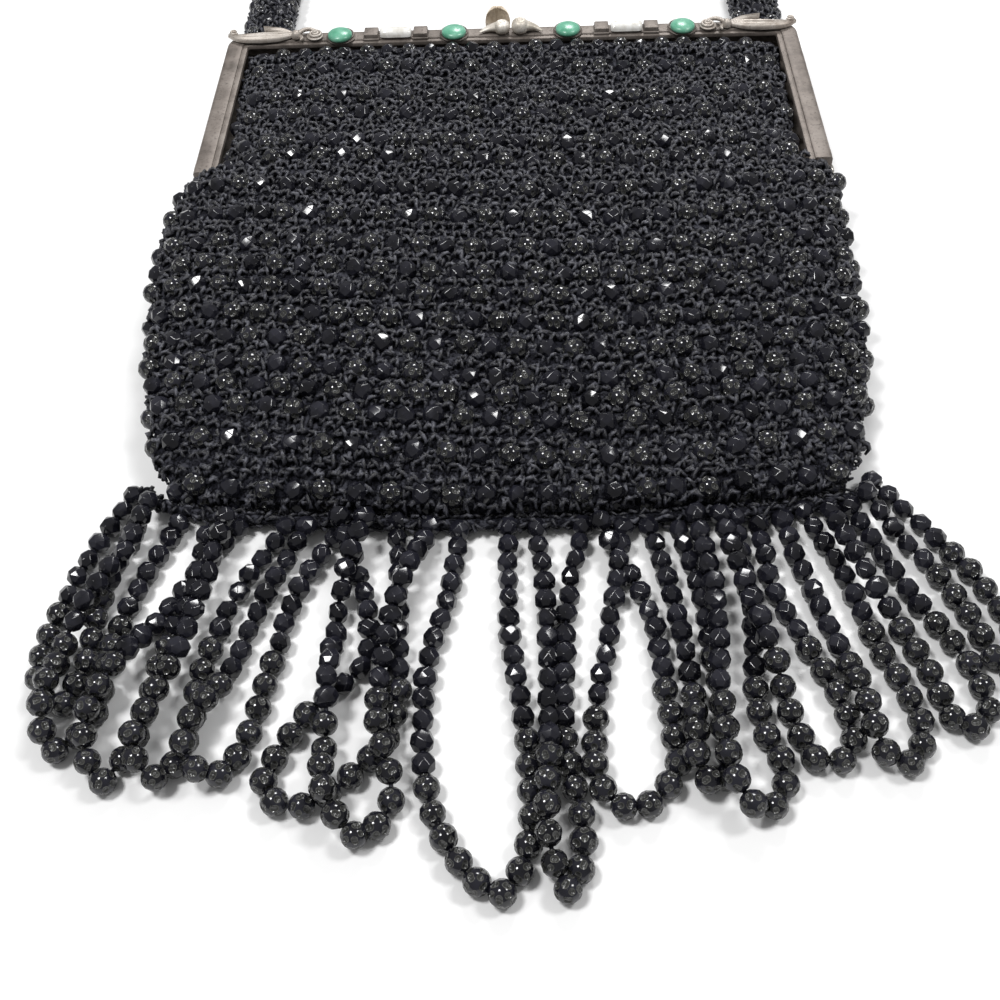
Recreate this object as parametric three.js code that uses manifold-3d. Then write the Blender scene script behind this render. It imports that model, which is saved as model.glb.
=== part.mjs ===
// Beaded flapper purse lying on its back. Lengths are in millimetres.
// X runs across the purse, Y from the fringe up to the handle, Z up from the table.
// Y = 0 is the bottom edge of the crocheted pouch, and X = 0 the middle of the frame.

import * as THREE from 'three';
import { mergeVertices } from 'three/addons/utils/BufferGeometryUtils.js';
import Module from 'manifold-3d';

const wasm = await Module();
wasm.setup();

// Gap between pieces that touch on the real purse
const clearance = 0.3;

// Frame
const frameWidth = 138;
const frameThickness = 10.5;
const armLength = 57;
const cornerRadius = 5.5;
const faceWidth = 5;
const plateThickness = 1;
const flangeThickness = 1.2;
const lipWidth = 1.2;
const lipDrop = 0.4;

// Hinges at the ends of the arms
const earRadius = 3.4;
const earThickness = 1.2;
const earRise = 1.5;
const pinRadius = 1.1;
const pinHeadRadius = 2;
const pinHeadHeight = 0.8;

// Stones, posts and pale bars on the frame's bar
const stoneRadius = 2.95;
const stoneGirdle = 0.5;
const stoneDome = 1.2;
const colletWall = 0.4;
const colletHeight = 0.8;
const colletFloor = 0.3;
const stoneInnerOffset = 13.8;
const stoneOuterOffset = 41.5;
const postWidth = 3.8;
const postTopWidth = 3.2;
const postDepth = 4;
const postHeight = 1.4;
const postInnerOffset = 22;
const postOuterOffset = 34;
const whiteBarWidth = 3.4;
const whiteBarHeight = 1.6;

// Cast scrolls at the corners
const spiralOffset = 47.8;
const spiralRadius = 2.1;
const spiralHeight = 1.5;
const spiralBossRadius = 0.9;
const spiralBossHeight = 0.6;
const knotOffset = 52;
const knotRadius = 1.3;
const leafTipOffset = 68.6;
const leafWidth = 4;
const leafHeight = 1.5;
const spurLength = 6.5;
const spurWidth = 2.4;

// Kiss lock
const knobRadius = 2.1;
const knobLength = 7.6;
const knobTailRadius = 0.5;
const knobDimple = 0.7;
const petalWidth = 6.2;
const petalHeight = 15;
const petalThickness = 1.1;
const petalFootWidth = 3;
const petalHollow = 1.3;
const petalOffset = -3.2;

// Pouch
const pouchLength = 142;
const bellyHalfWidth = 72;
const pouchThickness = 18;
const wallThickness = 1.5;
const beadHeight = 1.6;
const rowHalfHeight = 1.8;
const rowSagDepth = 4.2;
const sagFade = 16;
const mouthFlare = 6;
const cornerLift = 3.5;
const ringPoints = 20;
const throatSquareness = 0.32;

// Fringe
const stringRadius = 1.95;
const edgeRadius = 1.2;
const edgeCentreHeight = 2.5;
const edgeGap = 0.3;
const edgeStep = 7;
const stringSides = 6;
const stringSpacing = 2;
const stringStep = 14;
const stringTurn = 0.55;
const liftSlope = 0.45;
const tableGap = 0.15;

// Strap
const strapWidth = 13.5;
const strapThickness = 8.5;
const strapRounding = 2.8;
const strapInset = 0.25;
const strapRise = 122;
const strapCornerRadius = 58;

// Places that follow from the sizes
const barCentreY = pouchLength + clearance + faceWidth / 2;
const frameTop = pouchLength + clearance + faceWidth;
const armEnd = frameTop - armLength;
const earCentreY = armEnd + earRise;
const midHeight = frameThickness / 2;
const openingHalfWidth = frameWidth / 2 - faceWidth - clearance;
const colletRadius = stoneRadius + clearance + colletWall;
const bellyLength = earCentreY - earRadius - clearance;
const strapOffset = frameWidth / 2 - strapInset - strapWidth / 2;

// Rows of beads at the pouch's sides, as shares of its length measured up from the bottom edge
const beadRowShares = [
  0.0162, 0.0803, 0.1317, 0.1662, 0.1979, 0.243, 0.288, 0.338, 0.376,
  0.4268, 0.4923, 0.5585, 0.632, 0.6775, 0.7613, 0.819, 0.9246, 0.9824,
];

// Belly of the pouch below the hinges. up: share of bellyLength; left, right: shares of
// bellyHalfWidth; thick: share of pouchThickness
const bellySections = [
  { up: 0.0, left: 0.8, right: 0.8, thick: 0.42 },
  { up: 0.0324, left: 0.87, right: 0.855, thick: 0.54 },
  { up: 0.0892, left: 0.915, right: 0.885, thick: 0.66 },
  { up: 0.1783, left: 0.945, right: 0.91, thick: 0.77 },
  { up: 0.3566, left: 0.985, right: 0.94, thick: 0.9 },
  { up: 0.5836, left: 1.015, right: 0.96, thick: 1.0 },
  { up: 0.7457, left: 1.025, right: 0.965, thick: 1.0 },
  { up: 0.924, left: 1.0, right: 0.98, thick: 1.0 },
  { up: 0.9726, left: 0.97, right: 0.97, thick: 0.98 },
];

// Throat of the pouch between the arms. up: share of armLength above the hinge ears; thick: share
// of pouchThickness
const throatSections = [
  { up: 0.0, thick: 0.98 },
  { up: 0.15, thick: 0.95 },
  { up: 0.4, thick: 0.88 },
  { up: 0.6, thick: 0.79 },
  { up: 0.72, thick: 0.72 },
  { up: 0.85, thick: 0.665 },
];

// Routes of the looped strings of beads, chosen by hand: [x, y] from one end to the other
const fringeRoutes = [
  [[-67, 8], [-71, -2.5], [-74.5, -16.5], [-75.5, -30.5], [-71.5, -36.5], [-68.5, -30], [-68.5, -15], [-65, 1]],
  [[-63, 4], [-65, -7], [-70.5, -20.5], [-72.5, -34.5], [-70, -44], [-65.5, -39], [-64.5, -25], [-62, -11], [-58, 0]],
  [[-47, 0], [-54, -12], [-60.5, -26], [-65, -41], [-62, -49], [-58, -43], [-56.5, -29], [-53.5, -14], [-53, 0]],
  [[-49, 0], [-51.5, -19], [-55.5, -37], [-57, -45], [-53, -49], [-50, -43], [-49.5, -31], [-45.5, -14], [-39, -0.5]],
  [[-35, -0.5], [-40.5, -13.5], [-44.5, -29], [-49, -45], [-45, -49], [-41, -43.5], [-38.5, -29.5], [-35.5, -13.5], [-29, -0.5]],
  [[-30, -0.5], [-24.5, -16.5], [-23.5, -28.5], [-31.5, -37.5], [-37, -50.5], [-32, -53.5], [-24, -48.5], [-18.5, -40.5], [-18.5, -23.5], [-20, -0.5]],
  [[-25, -0.5], [-28.5, -17.5], [-28.5, -37.5], [-27, -53.5], [-22, -58.5], [-18, -52.5], [-20.5, -40.5], [-19.5, -21.5], [-14, -0.5]],
  [[-9, -1], [-10.5, -15], [-13.5, -29], [-13, -50], [-8, -62], [-2, -67], [2, -60], [2, -44], [-0.5, -25], [-1, -1]],
  [[4, -1], [5.5, -22], [5.5, -41], [5, -60], [8, -67], [10, -59], [8, -45], [8.5, -22], [12, -1]],
  [[19, -1], [15.5, -23.5], [12.5, -40], [13, -51.5], [18, -54.5], [24, -48.5], [23.5, -36.5], [22.5, -21.5], [14, -1]],
  [[23, -1], [26.5, -20.5], [27.5, -38.5], [27, -48.5], [30, -51.5], [32, -45.5], [31.5, -30.5], [30.5, -14.5], [28, -0.5]],
  [[31, -0.5], [32.5, -20.5], [31.5, -36.5], [32, -51.5], [36, -55.5], [40, -49.5], [37.5, -40.5], [38.5, -20.5], [38, -0.5]],
  [[35, -0.5], [37.5, -16.5], [40.5, -30.5], [45, -47], [50, -46], [50.5, -38], [46.5, -27], [42.5, -15], [42, 0]],
  [[46, 0], [48.5, -15], [52.5, -31], [55, -46], [59, -48], [61.5, -41], [57.5, -27], [55, -14], [50, 0.5]],
  [[54, 1], [57.5, -15], [63.5, -28], [67.5, -42], [71.5, -40.5], [71.5, -32.5], [65.5, -19], [61, -7], [58, 2]],
  [[60, 3], [67, -8], [72.5, -19.5], [76.5, -32.5], [79.5, -28.5], [77.5, -17.5], [71, -5.5], [63, 7]],
];

// Materials

function paint(colour, roughness, metalness) {
  return new THREE.MeshStandardMaterial({ color: colour, roughness, metalness });
}

const tarnishedMetal = paint(0x86796c, 0.5, 0.85);
const paleMetal = paint(0xb6aa9a, 0.42, 0.8);
const brownMetal = paint(0x9c8260, 0.4, 0.8);
const brightMetal = paint(0xb9b9b6, 0.3, 0.9);
const greenStone = paint(0x57b38c, 0.3, 0);
const whiteEnamel = paint(0xeeece6, 0.25, 0);
const blackCrochet = paint(0x1d1d21, 0.9, 0);
const blackBeads = paint(0x17171b, 0.25, 0);

// Solids

function toSolid(geometry) {
  const bare = geometry.clone();
  bare.deleteAttribute('normal');
  bare.deleteAttribute('uv');
  const merged = mergeVertices(bare, 1e-4);
  const vertProperties = new Float32Array(merged.attributes.position.array);
  const triVerts = new Uint32Array(merged.index.array);
  return new wasm.Manifold(new wasm.Mesh({ numProp: 3, vertProperties, triVerts }));
}

function toGeometry(solid) {
  const mesh = solid.getMesh();
  const geometry = new THREE.BufferGeometry();
  geometry.setAttribute('position', new THREE.BufferAttribute(mesh.vertProperties, 3));
  geometry.setIndex(new THREE.BufferAttribute(mesh.triVerts, 1));
  geometry.computeVertexNormals();
  return geometry;
}

function joined(geometries) {
  return geometries.map(toSolid).reduce((whole, piece) => whole.add(piece));
}

function extruded(shape, depth, z, curveSegments = 6) {
  const geometry = new THREE.ExtrudeGeometry(shape, { depth, bevelEnabled: false, curveSegments });
  geometry.translate(0, 0, z);
  return geometry;
}

// Closed solid through rings that all have the same number of points
function lofted(rings) {
  const count = rings[0].length;
  const positions = rings.flat().flatMap((point) => [point.x, point.y, point.z]);
  const indices = [];
  for (let row = 0; row + 1 < rings.length; row += 1) {
    for (let i = 0; i < count; i += 1) {
      const a = row * count + i;
      const b = row * count + (i + 1) % count;
      indices.push(a, b, b + count, a, b + count, a + count);
    }
  }
  const addCap = (ring, first, flip) => {
    const centre = new THREE.Vector3();
    ring.forEach((point) => centre.addScaledVector(point, 1 / count));
    const middle = positions.length / 3;
    positions.push(centre.x, centre.y, centre.z);
    for (let i = 0; i < count; i += 1) {
      const a = first + i;
      const b = first + (i + 1) % count;
      indices.push(middle, flip ? b : a, flip ? a : b);
    }
  };
  addCap(rings[0], 0, true);
  addCap(rings[rings.length - 1], (rings.length - 1) * count, false);
  const geometry = new THREE.BufferGeometry();
  geometry.setAttribute('position', new THREE.Float32BufferAttribute(positions, 3));
  geometry.setIndex(indices);
  return geometry;
}

function circleShape(radius, sides) {
  const points = [];
  for (let i = 0; i < sides; i += 1) {
    const angle = (2 * Math.PI * i) / sides;
    points.push(new THREE.Vector2(radius * Math.cos(angle), radius * Math.sin(angle)));
  }
  return new THREE.Shape(points);
}

function headingAt(points, i) {
  const next = points[Math.min(i + 1, points.length - 1)];
  const previous = points[Math.max(i - 1, 0)];
  return next.clone().sub(previous).normalize();
}

// Tube through points on a path that runs nearly level
function tubeThrough(points, radius, sides) {
  const upright = new THREE.Vector3(0, 0, 1);
  const section = circleShape(radius, sides).getPoints();
  const rings = points.map((point, i) => {
    const ahead = headingAt(points, i);
    const side = upright.clone().cross(ahead).normalize();
    const up = ahead.clone().cross(side);
    return section.slice(0, sides).map((offset) => {
      return point.clone().addScaledVector(side, offset.x).addScaledVector(up, offset.y);
    });
  });
  return lofted(rings);
}

// Points of a path that are kept as stations: close together where it bends, far apart where
// it runs straight
function stationsOf(points, longest, sharpest) {
  const kept = [0];
  for (let i = 1; i + 1 < points.length; i += 1) {
    const last = kept[kept.length - 1];
    const turned = headingAt(points, last).angleTo(headingAt(points, i));
    if (turned >= sharpest || points[i].distanceTo(points[last]) >= longest) kept.push(i);
  }
  kept.push(points.length - 1);
  return kept.map((i) => points[i]);
}

// Band in the shape of an upside-down U: its outer outline and its width
function archShape({ half, top, foot, radius, width }) {
  const innerRadius = radius - width;
  const inner = half - width;
  const shape = new THREE.Shape();
  shape.moveTo(-half, foot);
  shape.lineTo(-half, top - radius);
  shape.absarc(-half + radius, top - radius, radius, Math.PI, Math.PI / 2, true);
  shape.lineTo(half - radius, top);
  shape.absarc(half - radius, top - radius, radius, Math.PI / 2, 0, true);
  shape.lineTo(half, foot);
  shape.lineTo(inner, foot);
  shape.lineTo(inner, top - radius);
  shape.absarc(half - radius, top - radius, innerRadius, 0, Math.PI / 2, false);
  shape.lineTo(-half + radius, top - width);
  shape.absarc(-half + radius, top - radius, innerRadius, Math.PI / 2, Math.PI, false);
  shape.lineTo(-inner, foot);
  return shape;
}

// Frame

// A band of the frame that starts some way inside the frame's outline
function frameBand(inset, width, foot) {
  return archShape({
    half: frameWidth / 2 - inset,
    top: frameTop - inset,
    foot,
    radius: cornerRadius - inset,
    width,
  });
}

// One half of the frame with its flat face down on z = 0
function frameChannel(flangeFoot) {
  const plateWidth = faceWidth - lipWidth;
  const flangeHeight = midHeight - clearance / 2;
  return [
    extruded(frameBand(0, plateWidth, armEnd), plateThickness, 0),
    extruded(frameBand(plateWidth - lipDrop, lipWidth + lipDrop, armEnd), plateThickness, lipDrop),
    extruded(frameBand(0, flangeThickness, flangeFoot), flangeHeight, 0),
  ];
}

// Disc with a web up to its arm, standing across the hinge pin
function hingeEar(x, topY, lowZ, highZ) {
  const disc = new THREE.CylinderGeometry(earRadius, earRadius, earThickness, 12);
  disc.rotateZ(Math.PI / 2);
  disc.translate(x, earCentreY, midHeight);
  const web = new THREE.BoxGeometry(earThickness, topY - earCentreY, highZ - lowZ);
  web.translate(x, (topY + earCentreY) / 2, (highZ + lowZ) / 2);
  return [disc, web];
}

function pinHole(x) {
  const hole = new THREE.CylinderGeometry(pinRadius + clearance, pinRadius + clearance, 4 * earThickness, 12);
  hole.rotateZ(Math.PI / 2);
  hole.translate(x, earCentreY, midHeight);
  return toSolid(hole);
}

const outerEarX = frameWidth / 2 - earThickness / 2;
const innerEarX = outerEarX - earThickness - clearance;

function collet(x) {
  const seatRadius = colletRadius - colletWall;
  const profile = [
    [0, -clearance], [colletRadius, -clearance], [colletRadius, colletHeight],
    [seatRadius, colletHeight], [seatRadius, colletFloor], [0, colletFloor],
  ].map(([radius, height]) => new THREE.Vector2(radius, height));
  const ring = new THREE.LatheGeometry(profile, 12);
  ring.rotateX(Math.PI / 2);
  ring.translate(x, barCentreY, frameThickness);
  return ring;
}

function squarePost(x) {
  const ring = (width, depth, z) => [
    new THREE.Vector3(x - width / 2, barCentreY - depth / 2, z),
    new THREE.Vector3(x + width / 2, barCentreY - depth / 2, z),
    new THREE.Vector3(x + width / 2, barCentreY + depth / 2, z),
    new THREE.Vector3(x - width / 2, barCentreY + depth / 2, z),
  ];
  const foot = frameThickness - plateThickness / 2;
  const taper = postWidth - postTopWidth;
  return lofted([
    ring(postWidth, postDepth, foot),
    ring(postTopWidth, postDepth - taper, frameThickness + postHeight),
  ]);
}

function mirroredOffsets(offsets) {
  return offsets.flatMap((offset) => [-offset, offset]);
}

function frameFront() {
  const ears = [-outerEarX, outerEarX].flatMap((x) => {
    return hingeEar(x, armEnd + earRadius, midHeight - earRadius / 2, frameThickness);
  });
  const channel = frameChannel(armEnd).map((geometry) => {
    geometry.rotateY(Math.PI);
    geometry.translate(0, 0, frameThickness);
    return geometry;
  });
  const collets = mirroredOffsets([stoneInnerOffset, stoneOuterOffset]).map(collet);
  const posts = mirroredOffsets([postInnerOffset, postOuterOffset]).map(squarePost);
  const solid = joined([...channel, ...ears, ...collets, ...posts]);
  return solid.subtract(pinHole(-outerEarX)).subtract(pinHole(outerEarX));
}

function frameBack() {
  const flangeFoot = earCentreY + earRadius + clearance;
  const ears = [-innerEarX, innerEarX].flatMap((x) => {
    return hingeEar(x, armEnd + earRadius, 0, midHeight + earRadius / 2);
  });
  const solid = joined([...frameChannel(flangeFoot), ...ears]);
  return solid.subtract(pinHole(-innerEarX)).subtract(pinHole(innerEarX));
}

// Rivet through both ears, with a head outside and a burr inside
function hingePin(side) {
  const shankInner = innerEarX - earThickness / 2 - clearance;
  const shankOuter = outerEarX + earThickness / 2 + clearance;
  const profile = [
    [0, shankInner - pinHeadHeight], [pinHeadRadius, shankInner - pinHeadHeight],
    [pinHeadRadius, shankInner], [pinRadius, shankInner], [pinRadius, shankOuter],
    [pinHeadRadius, shankOuter], [pinHeadRadius * 0.7, shankOuter + pinHeadHeight],
    [0, shankOuter + pinHeadHeight],
  ].map(([radius, height]) => new THREE.Vector2(radius, height));
  const pin = new THREE.LatheGeometry(profile, 10);
  pin.rotateZ(-side * Math.PI / 2);
  pin.translate(0, earCentreY, midHeight);
  return pin;
}

// Trim on the bar

function cabochon(x) {
  const profile = [[0, 0], [stoneRadius, 0], [stoneRadius, stoneGirdle]];
  for (const angle of [0.5, 1]) {
    profile.push([stoneRadius * Math.cos(angle), stoneGirdle + stoneDome * Math.sin(angle)]);
  }
  profile.push([0, stoneGirdle + stoneDome]);
  const points = profile.map(([radius, height]) => new THREE.Vector2(radius, height));
  const stone = new THREE.LatheGeometry(points, 12);
  stone.rotateX(Math.PI / 2);
  stone.translate(x, barCentreY, frameThickness + colletFloor + clearance);
  return stone;
}

function whiteBar(side) {
  const start = postInnerOffset + postWidth / 2 + clearance;
  const end = postOuterOffset - postWidth / 2 - clearance;
  const shape = new THREE.Shape();
  shape.moveTo(-whiteBarWidth / 2, 0);
  shape.lineTo(whiteBarWidth / 2, 0);
  shape.lineTo(whiteBarWidth / 2, whiteBarHeight / 2);
  shape.lineTo(whiteBarWidth / 4, whiteBarHeight);
  shape.lineTo(-whiteBarWidth / 4, whiteBarHeight);
  shape.lineTo(-whiteBarWidth / 2, whiteBarHeight / 2);
  const bar = new THREE.ExtrudeGeometry(shape, { depth: end - start, bevelEnabled: false });
  bar.rotateX(Math.PI / 2);
  bar.rotateZ(Math.PI / 2);
  bar.translate(start, barCentreY, frameThickness + clearance);
  if (side < 0) {
    bar.rotateZ(Math.PI);
    bar.translate(0, 2 * barCentreY, 0);
  }
  return bar;
}

// Leaf between two points of the bar: arc along its lower edge, flatter arc above
function leafShape(startX, endX, y, width) {
  const length = endX - startX;
  const shape = new THREE.Shape();
  shape.moveTo(startX, y);
  shape.quadraticCurveTo(startX + length * 0.55, y - width * 0.85, endX, y - width * 0.1);
  shape.quadraticCurveTo(endX + width * 0.15, y + width * 0.25, endX - width * 0.2, y + width * 0.3);
  shape.quadraticCurveTo(startX + length * 0.5, y + width * 0.35, startX, y + width * 0.3);
  return shape;
}

// Branch that leaves the leaf towards the handle and ends in a point
function spurShape(startX, y) {
  const shape = new THREE.Shape();
  shape.moveTo(startX, y);
  const tipX = startX + spurLength;
  shape.quadraticCurveTo(startX + spurLength * 0.5, y - spurWidth * 0.1, tipX, y + spurWidth * 0.1);
  shape.lineTo(tipX, y + spurWidth * 0.5);
  shape.quadraticCurveTo(startX + spurLength * 0.4, y + spurWidth, startX, y + spurWidth * 0.7);
  return shape;
}

function cornerScroll(side) {
  const base = frameThickness + clearance;
  const spiral = new THREE.CylinderGeometry(spiralRadius, spiralRadius, spiralHeight, 12);
  spiral.rotateX(Math.PI / 2);
  spiral.translate(spiralOffset, barCentreY, base + spiralHeight / 2);
  const boss = new THREE.CylinderGeometry(spiralBossRadius * 0.6, spiralBossRadius, spiralBossHeight * 2, 10);
  boss.rotateX(Math.PI / 2);
  boss.translate(spiralOffset, barCentreY, base + spiralHeight);
  const neckLength = knotOffset - spiralOffset;
  const neck = new THREE.BoxGeometry(neckLength, spiralRadius, spiralHeight * 0.8);
  neck.translate((knotOffset + spiralOffset) / 2, barCentreY + spiralRadius / 2.5, base + spiralHeight * 0.4);
  const knot = new THREE.CylinderGeometry(knotRadius * 0.7, knotRadius, leafHeight * 1.2, 8);
  knot.rotateX(Math.PI / 2);
  knot.translate(knotOffset, barCentreY + knotRadius / 2, base + leafHeight * 0.6);
  const leaf = extruded(leafShape(knotOffset, leafTipOffset, barCentreY, leafWidth), leafHeight, base, 4);
  const spur = extruded(spurShape(knotOffset, barCentreY), leafHeight * 0.9, base, 4);
  const solid = joined([spiral, boss, neck, knot, leaf, spur]);
  return side > 0 ? solid : solid.mirror([1, 0, 0]);
}

// Comma-shaped knob: a round bulb at the middle of the bar with a tail that runs outwards
function claspKnob(side) {
  const seat = frameThickness + clearance;
  const bulb = new THREE.SphereGeometry(knobRadius, 10, 6);
  bulb.scale(1, 1, 0.8);
  bulb.translate(knobRadius + clearance / 2, barCentreY, seat + knobRadius * 0.8);
  const tail = new THREE.CylinderGeometry(knobTailRadius, knobRadius * 0.75, knobLength - knobRadius, 8);
  tail.rotateZ(-Math.PI / 2);
  tail.translate(knobRadius + (knobLength - knobRadius) / 2, barCentreY, seat + knobRadius * 0.75);
  const dimple = new THREE.SphereGeometry(knobDimple, 6, 4);
  dimple.translate(knobRadius + clearance / 2, barCentreY, seat + knobRadius * 1.6);
  const solid = joined([bulb, tail]).subtract(toSolid(dimple));
  return side > 0 ? solid : solid.mirror([1, 0, 0]);
}

// Thumb petal on the back half: a hollow shell that stands up past the front half
function claspPetal() {
  const rows = [
    { up: 0.04, wide: petalFootWidth, lean: 0 },
    { up: 0.3, wide: petalFootWidth, lean: 0 },
    { up: 0.55, wide: petalWidth * 0.85, lean: 0.35 },
    { up: 0.78, wide: petalWidth, lean: 0.6 },
    { up: 0.93, wide: petalWidth * 0.75, lean: 0.3 },
    { up: 1, wide: petalWidth * 0.35, lean: -0.2 },
  ];
  const across = [-1, -0.5, 0, 0.5, 1];
  const rings = rows.map(({ up, wide, lean }) => {
    const point = (share, offset) => new THREE.Vector3(
      petalOffset + share * wide / 2,
      frameTop + clearance + lean + petalHollow * (wide / petalWidth) * (1 - share * share) + offset,
      petalHeight * up,
    );
    const near = across.map((share) => point(share, 0));
    const far = [...across].reverse().map((share) => point(share, petalThickness));
    return [...near, ...far];
  });
  return lofted(rings);
}

// Pouch

// Straight-line reading of a table of sections at a height above the bottom edge
function readSections(sections, y) {
  const last = sections.length - 1;
  if (y <= sections[0].y) return sections[0];
  if (y >= sections[last].y) return sections[last];
  const next = sections.findIndex((section) => section.y > y);
  const low = sections[next - 1];
  const high = sections[next];
  const share = (y - low.y) / (high.y - low.y);
  const mix = (key) => low[key] + (high[key] - low[key]) * share;
  return { y, left: mix('left'), right: mix('right'), thick: mix('thick') };
}

const pouchSections = [
  ...bellySections.map(({ up, left, right, thick }) => ({
    y: up * bellyLength,
    left: left * bellyHalfWidth,
    right: right * bellyHalfWidth,
    thick: thick * pouchThickness,
  })),
  ...throatSections.map(({ up, thick }) => ({
    y: bellyLength + up * armLength,
    left: openingHalfWidth,
    right: openingHalfWidth,
    thick: thick * pouchThickness,
  })),
  {
    y: pouchLength,
    left: openingHalfWidth,
    right: openingHalfWidth,
    thick: frameThickness - 2 * clearance,
  },
];

// How far the rows rise from the middle of the pouch to its sides, fading out at the frame
function rowLift(y) {
  return cornerLift * (1 - THREE.MathUtils.smoothstep(y, 0.45 * pouchLength, pouchLength));
}

// How far a row sags below its height at the sides, most at the right of the middle. across: from
// -1 at the left side to 1 at the right one. The bottom edge and the mouth stay straight.
function rowSag(y, across) {
  const fromBottom = THREE.MathUtils.smoothstep(y, 0, sagFade);
  const fromMouth = 1 - THREE.MathUtils.smoothstep(y, pouchLength - sagFade, pouchLength);
  return rowSagDepth * fromBottom * fromMouth * (1 - across * across) * (1 + across);
}

// One ring of the pouch: the outline over the beads drawn in by some depth. Its corners are round
// in the belly and squarer where the frame holds it.
function pouchRing(ringHeight, depth) {
  const ring = [];
  for (let i = 0; i < ringPoints; i += 1) {
    const angle = (-2 * Math.PI * i) / ringPoints;
    const c = Math.cos(angle);
    const s = Math.sin(angle);
    const across = Math.sign(c) * Math.abs(c) ** 0.75;
    const y = ringHeight - rowSag(ringHeight, across);
    const square = THREE.MathUtils.smoothstep(y, bellyLength, pouchLength - 0.5 * faceWidth);
    const section = readSections(pouchSections, y);
    const upPower = THREE.MathUtils.lerp(s > 0 ? 0.7 : 0.5, throatSquareness, square);
    const up = Math.sign(s) * Math.abs(s) ** upPower;
    const half = (section.right + section.left) / 2 - depth;
    ring.push(new THREE.Vector3(
      (section.right - section.left) / 2 + half * across,
      y + rowLift(y) * across * across,
      section.thick / 2 + (section.thick / 2 - depth) * up,
    ));
  }
  return ring;
}

// Depth of the cloth between the rows, less where it widens into the frame
function valleyDepth(y) {
  const flareStart = pouchLength - mouthFlare;
  return THREE.MathUtils.mapLinear(
    Math.max(y, flareStart), flareStart, pouchLength, beadHeight, clearance);
}

function pouch() {
  const stations = [];
  for (const share of beadRowShares) {
    const y = share * pouchLength;
    stations.push({ y: y - rowHalfHeight, depth: valleyDepth(y - rowHalfHeight) });
    stations.push({ y, depth: 0 });
    stations.push({ y: y + rowHalfHeight, depth: valleyDepth(y + rowHalfHeight) });
  }
  stations[0] = { y: 0, depth: beadHeight * 0.6 };
  stations[stations.length - 1] = { y: pouchLength, depth: clearance };
  const outer = stations.map(({ y, depth }) => pouchRing(y, depth));
  const innerHeights = [
    pouchLength, pouchLength - mouthFlare, 0.84 * pouchLength, 0.72 * pouchLength,
    0.63 * pouchLength, 0.58 * pouchLength, 0.4 * pouchLength, 0.22 * pouchLength,
    0.1 * pouchLength, 0.04 * pouchLength,
  ];
  const inner = innerHeights.map((y) => pouchRing(y, valleyDepth(y) + wallThickness));
  return lofted([...outer, ...inner]);
}

// Fringe

// Route of the crocheted edge along the pouch's bottom, out to its corners
function edgeRoute() {
  const offset = edgeRadius + edgeGap;
  const corner = bellySections[2];
  const low = bellySections[1];
  const cornerY = corner.up * bellyLength + cornerLift;
  const lowY = low.up * bellyLength + cornerLift;
  const place = (x, y) => new THREE.Vector3(x, y, edgeCentreHeight);
  const bottomHalf = bellySections[0].left * bellyHalfWidth;
  const bottom = [-0.9, -0.6, -0.3, 0, 0.3, 0.6, 0.9].map((share) => {
    return place(share * bottomHalf, cornerLift * share * share - offset);
  });
  return [
    place(-corner.left * bellyHalfWidth - offset * 0.9, cornerY - offset * 0.5),
    place(-low.left * bellyHalfWidth - offset * 0.5, lowY - offset),
    ...bottom,
    place(low.right * bellyHalfWidth + offset * 0.5, lowY - offset),
    place(corner.right * bellyHalfWidth + offset * 0.9, cornerY - offset * 0.5),
  ];
}

// Strings are laid one after another: each lies on the table, or over the strings laid before it
function layStrings(routes, spacing) {
  const laid = [];
  const lowest = stringRadius + tableGap;
  return routes.map((route) => {
    const flat = new THREE.CatmullRomCurve3(
      route.map(([x, y]) => new THREE.Vector3(x, y, 0)), false, 'centripetal');
    const count = Math.round(flat.getLength() / spacing);
    const points = flat.getSpacedPoints(count);
    const reach = 2 * stringRadius;
    const heights = points.map((point) => {
      let height = lowest;
      for (const other of laid) {
        const distance = Math.hypot(point.x - other.x, point.y - other.y);
        if (distance < reach) {
          height = Math.max(height, other.z + Math.sqrt(reach * reach - distance * distance));
        }
      }
      return Math.min(height, 3 * stringRadius);
    });
    heights[0] = Math.max(heights[0], edgeCentreHeight);
    heights[count] = Math.max(heights[count], edgeCentreHeight);
    points.forEach((point, i) => {
      const raised = heights.map((height, j) => height - Math.abs(i - j) * spacing * liftSlope);
      point.z = Math.max(...raised, lowest);
    });
    laid.push(...points);
    return points;
  });
}

function fringe() {
  const edge = new THREE.CatmullRomCurve3(edgeRoute(), false, 'centripetal');
  const edgePoints = edge.getSpacedPoints(Math.round(edge.getLength() / stringSpacing));
  const pieces = [tubeThrough(stationsOf(edgePoints, edgeStep, stringTurn), edgeRadius, stringSides)];
  for (const points of layStrings(fringeRoutes, stringSpacing)) {
    pieces.push(tubeThrough(stationsOf(points, stringStep, stringTurn), stringRadius, stringSides));
  }
  return joined(pieces);
}

// Strap

function strap() {
  const shape = archShape({
    half: strapOffset + strapWidth / 2 - strapRounding,
    top: frameTop + clearance + strapRise - strapRounding,
    foot: frameTop + clearance + strapRounding,
    radius: strapCornerRadius - strapRounding,
    width: strapWidth - 2 * strapRounding,
  });
  const geometry = new THREE.ExtrudeGeometry(shape, {
    depth: strapThickness - 2 * strapRounding,
    bevelThickness: strapRounding,
    bevelSize: strapRounding,
    bevelSegments: 2,
    curveSegments: 9,
  });
  geometry.translate(0, 0, strapRounding);
  return geometry;
}

// Assembly

const purse = new THREE.Group();
const laidOut = new THREE.Group();
purse.add(laidOut);

function addPiece(name, shape, material) {
  const geometry = shape.isBufferGeometry ? shape : toGeometry(shape);
  const mesh = new THREE.Mesh(geometry, material);
  mesh.name = name;
  laidOut.add(mesh);
}

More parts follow.
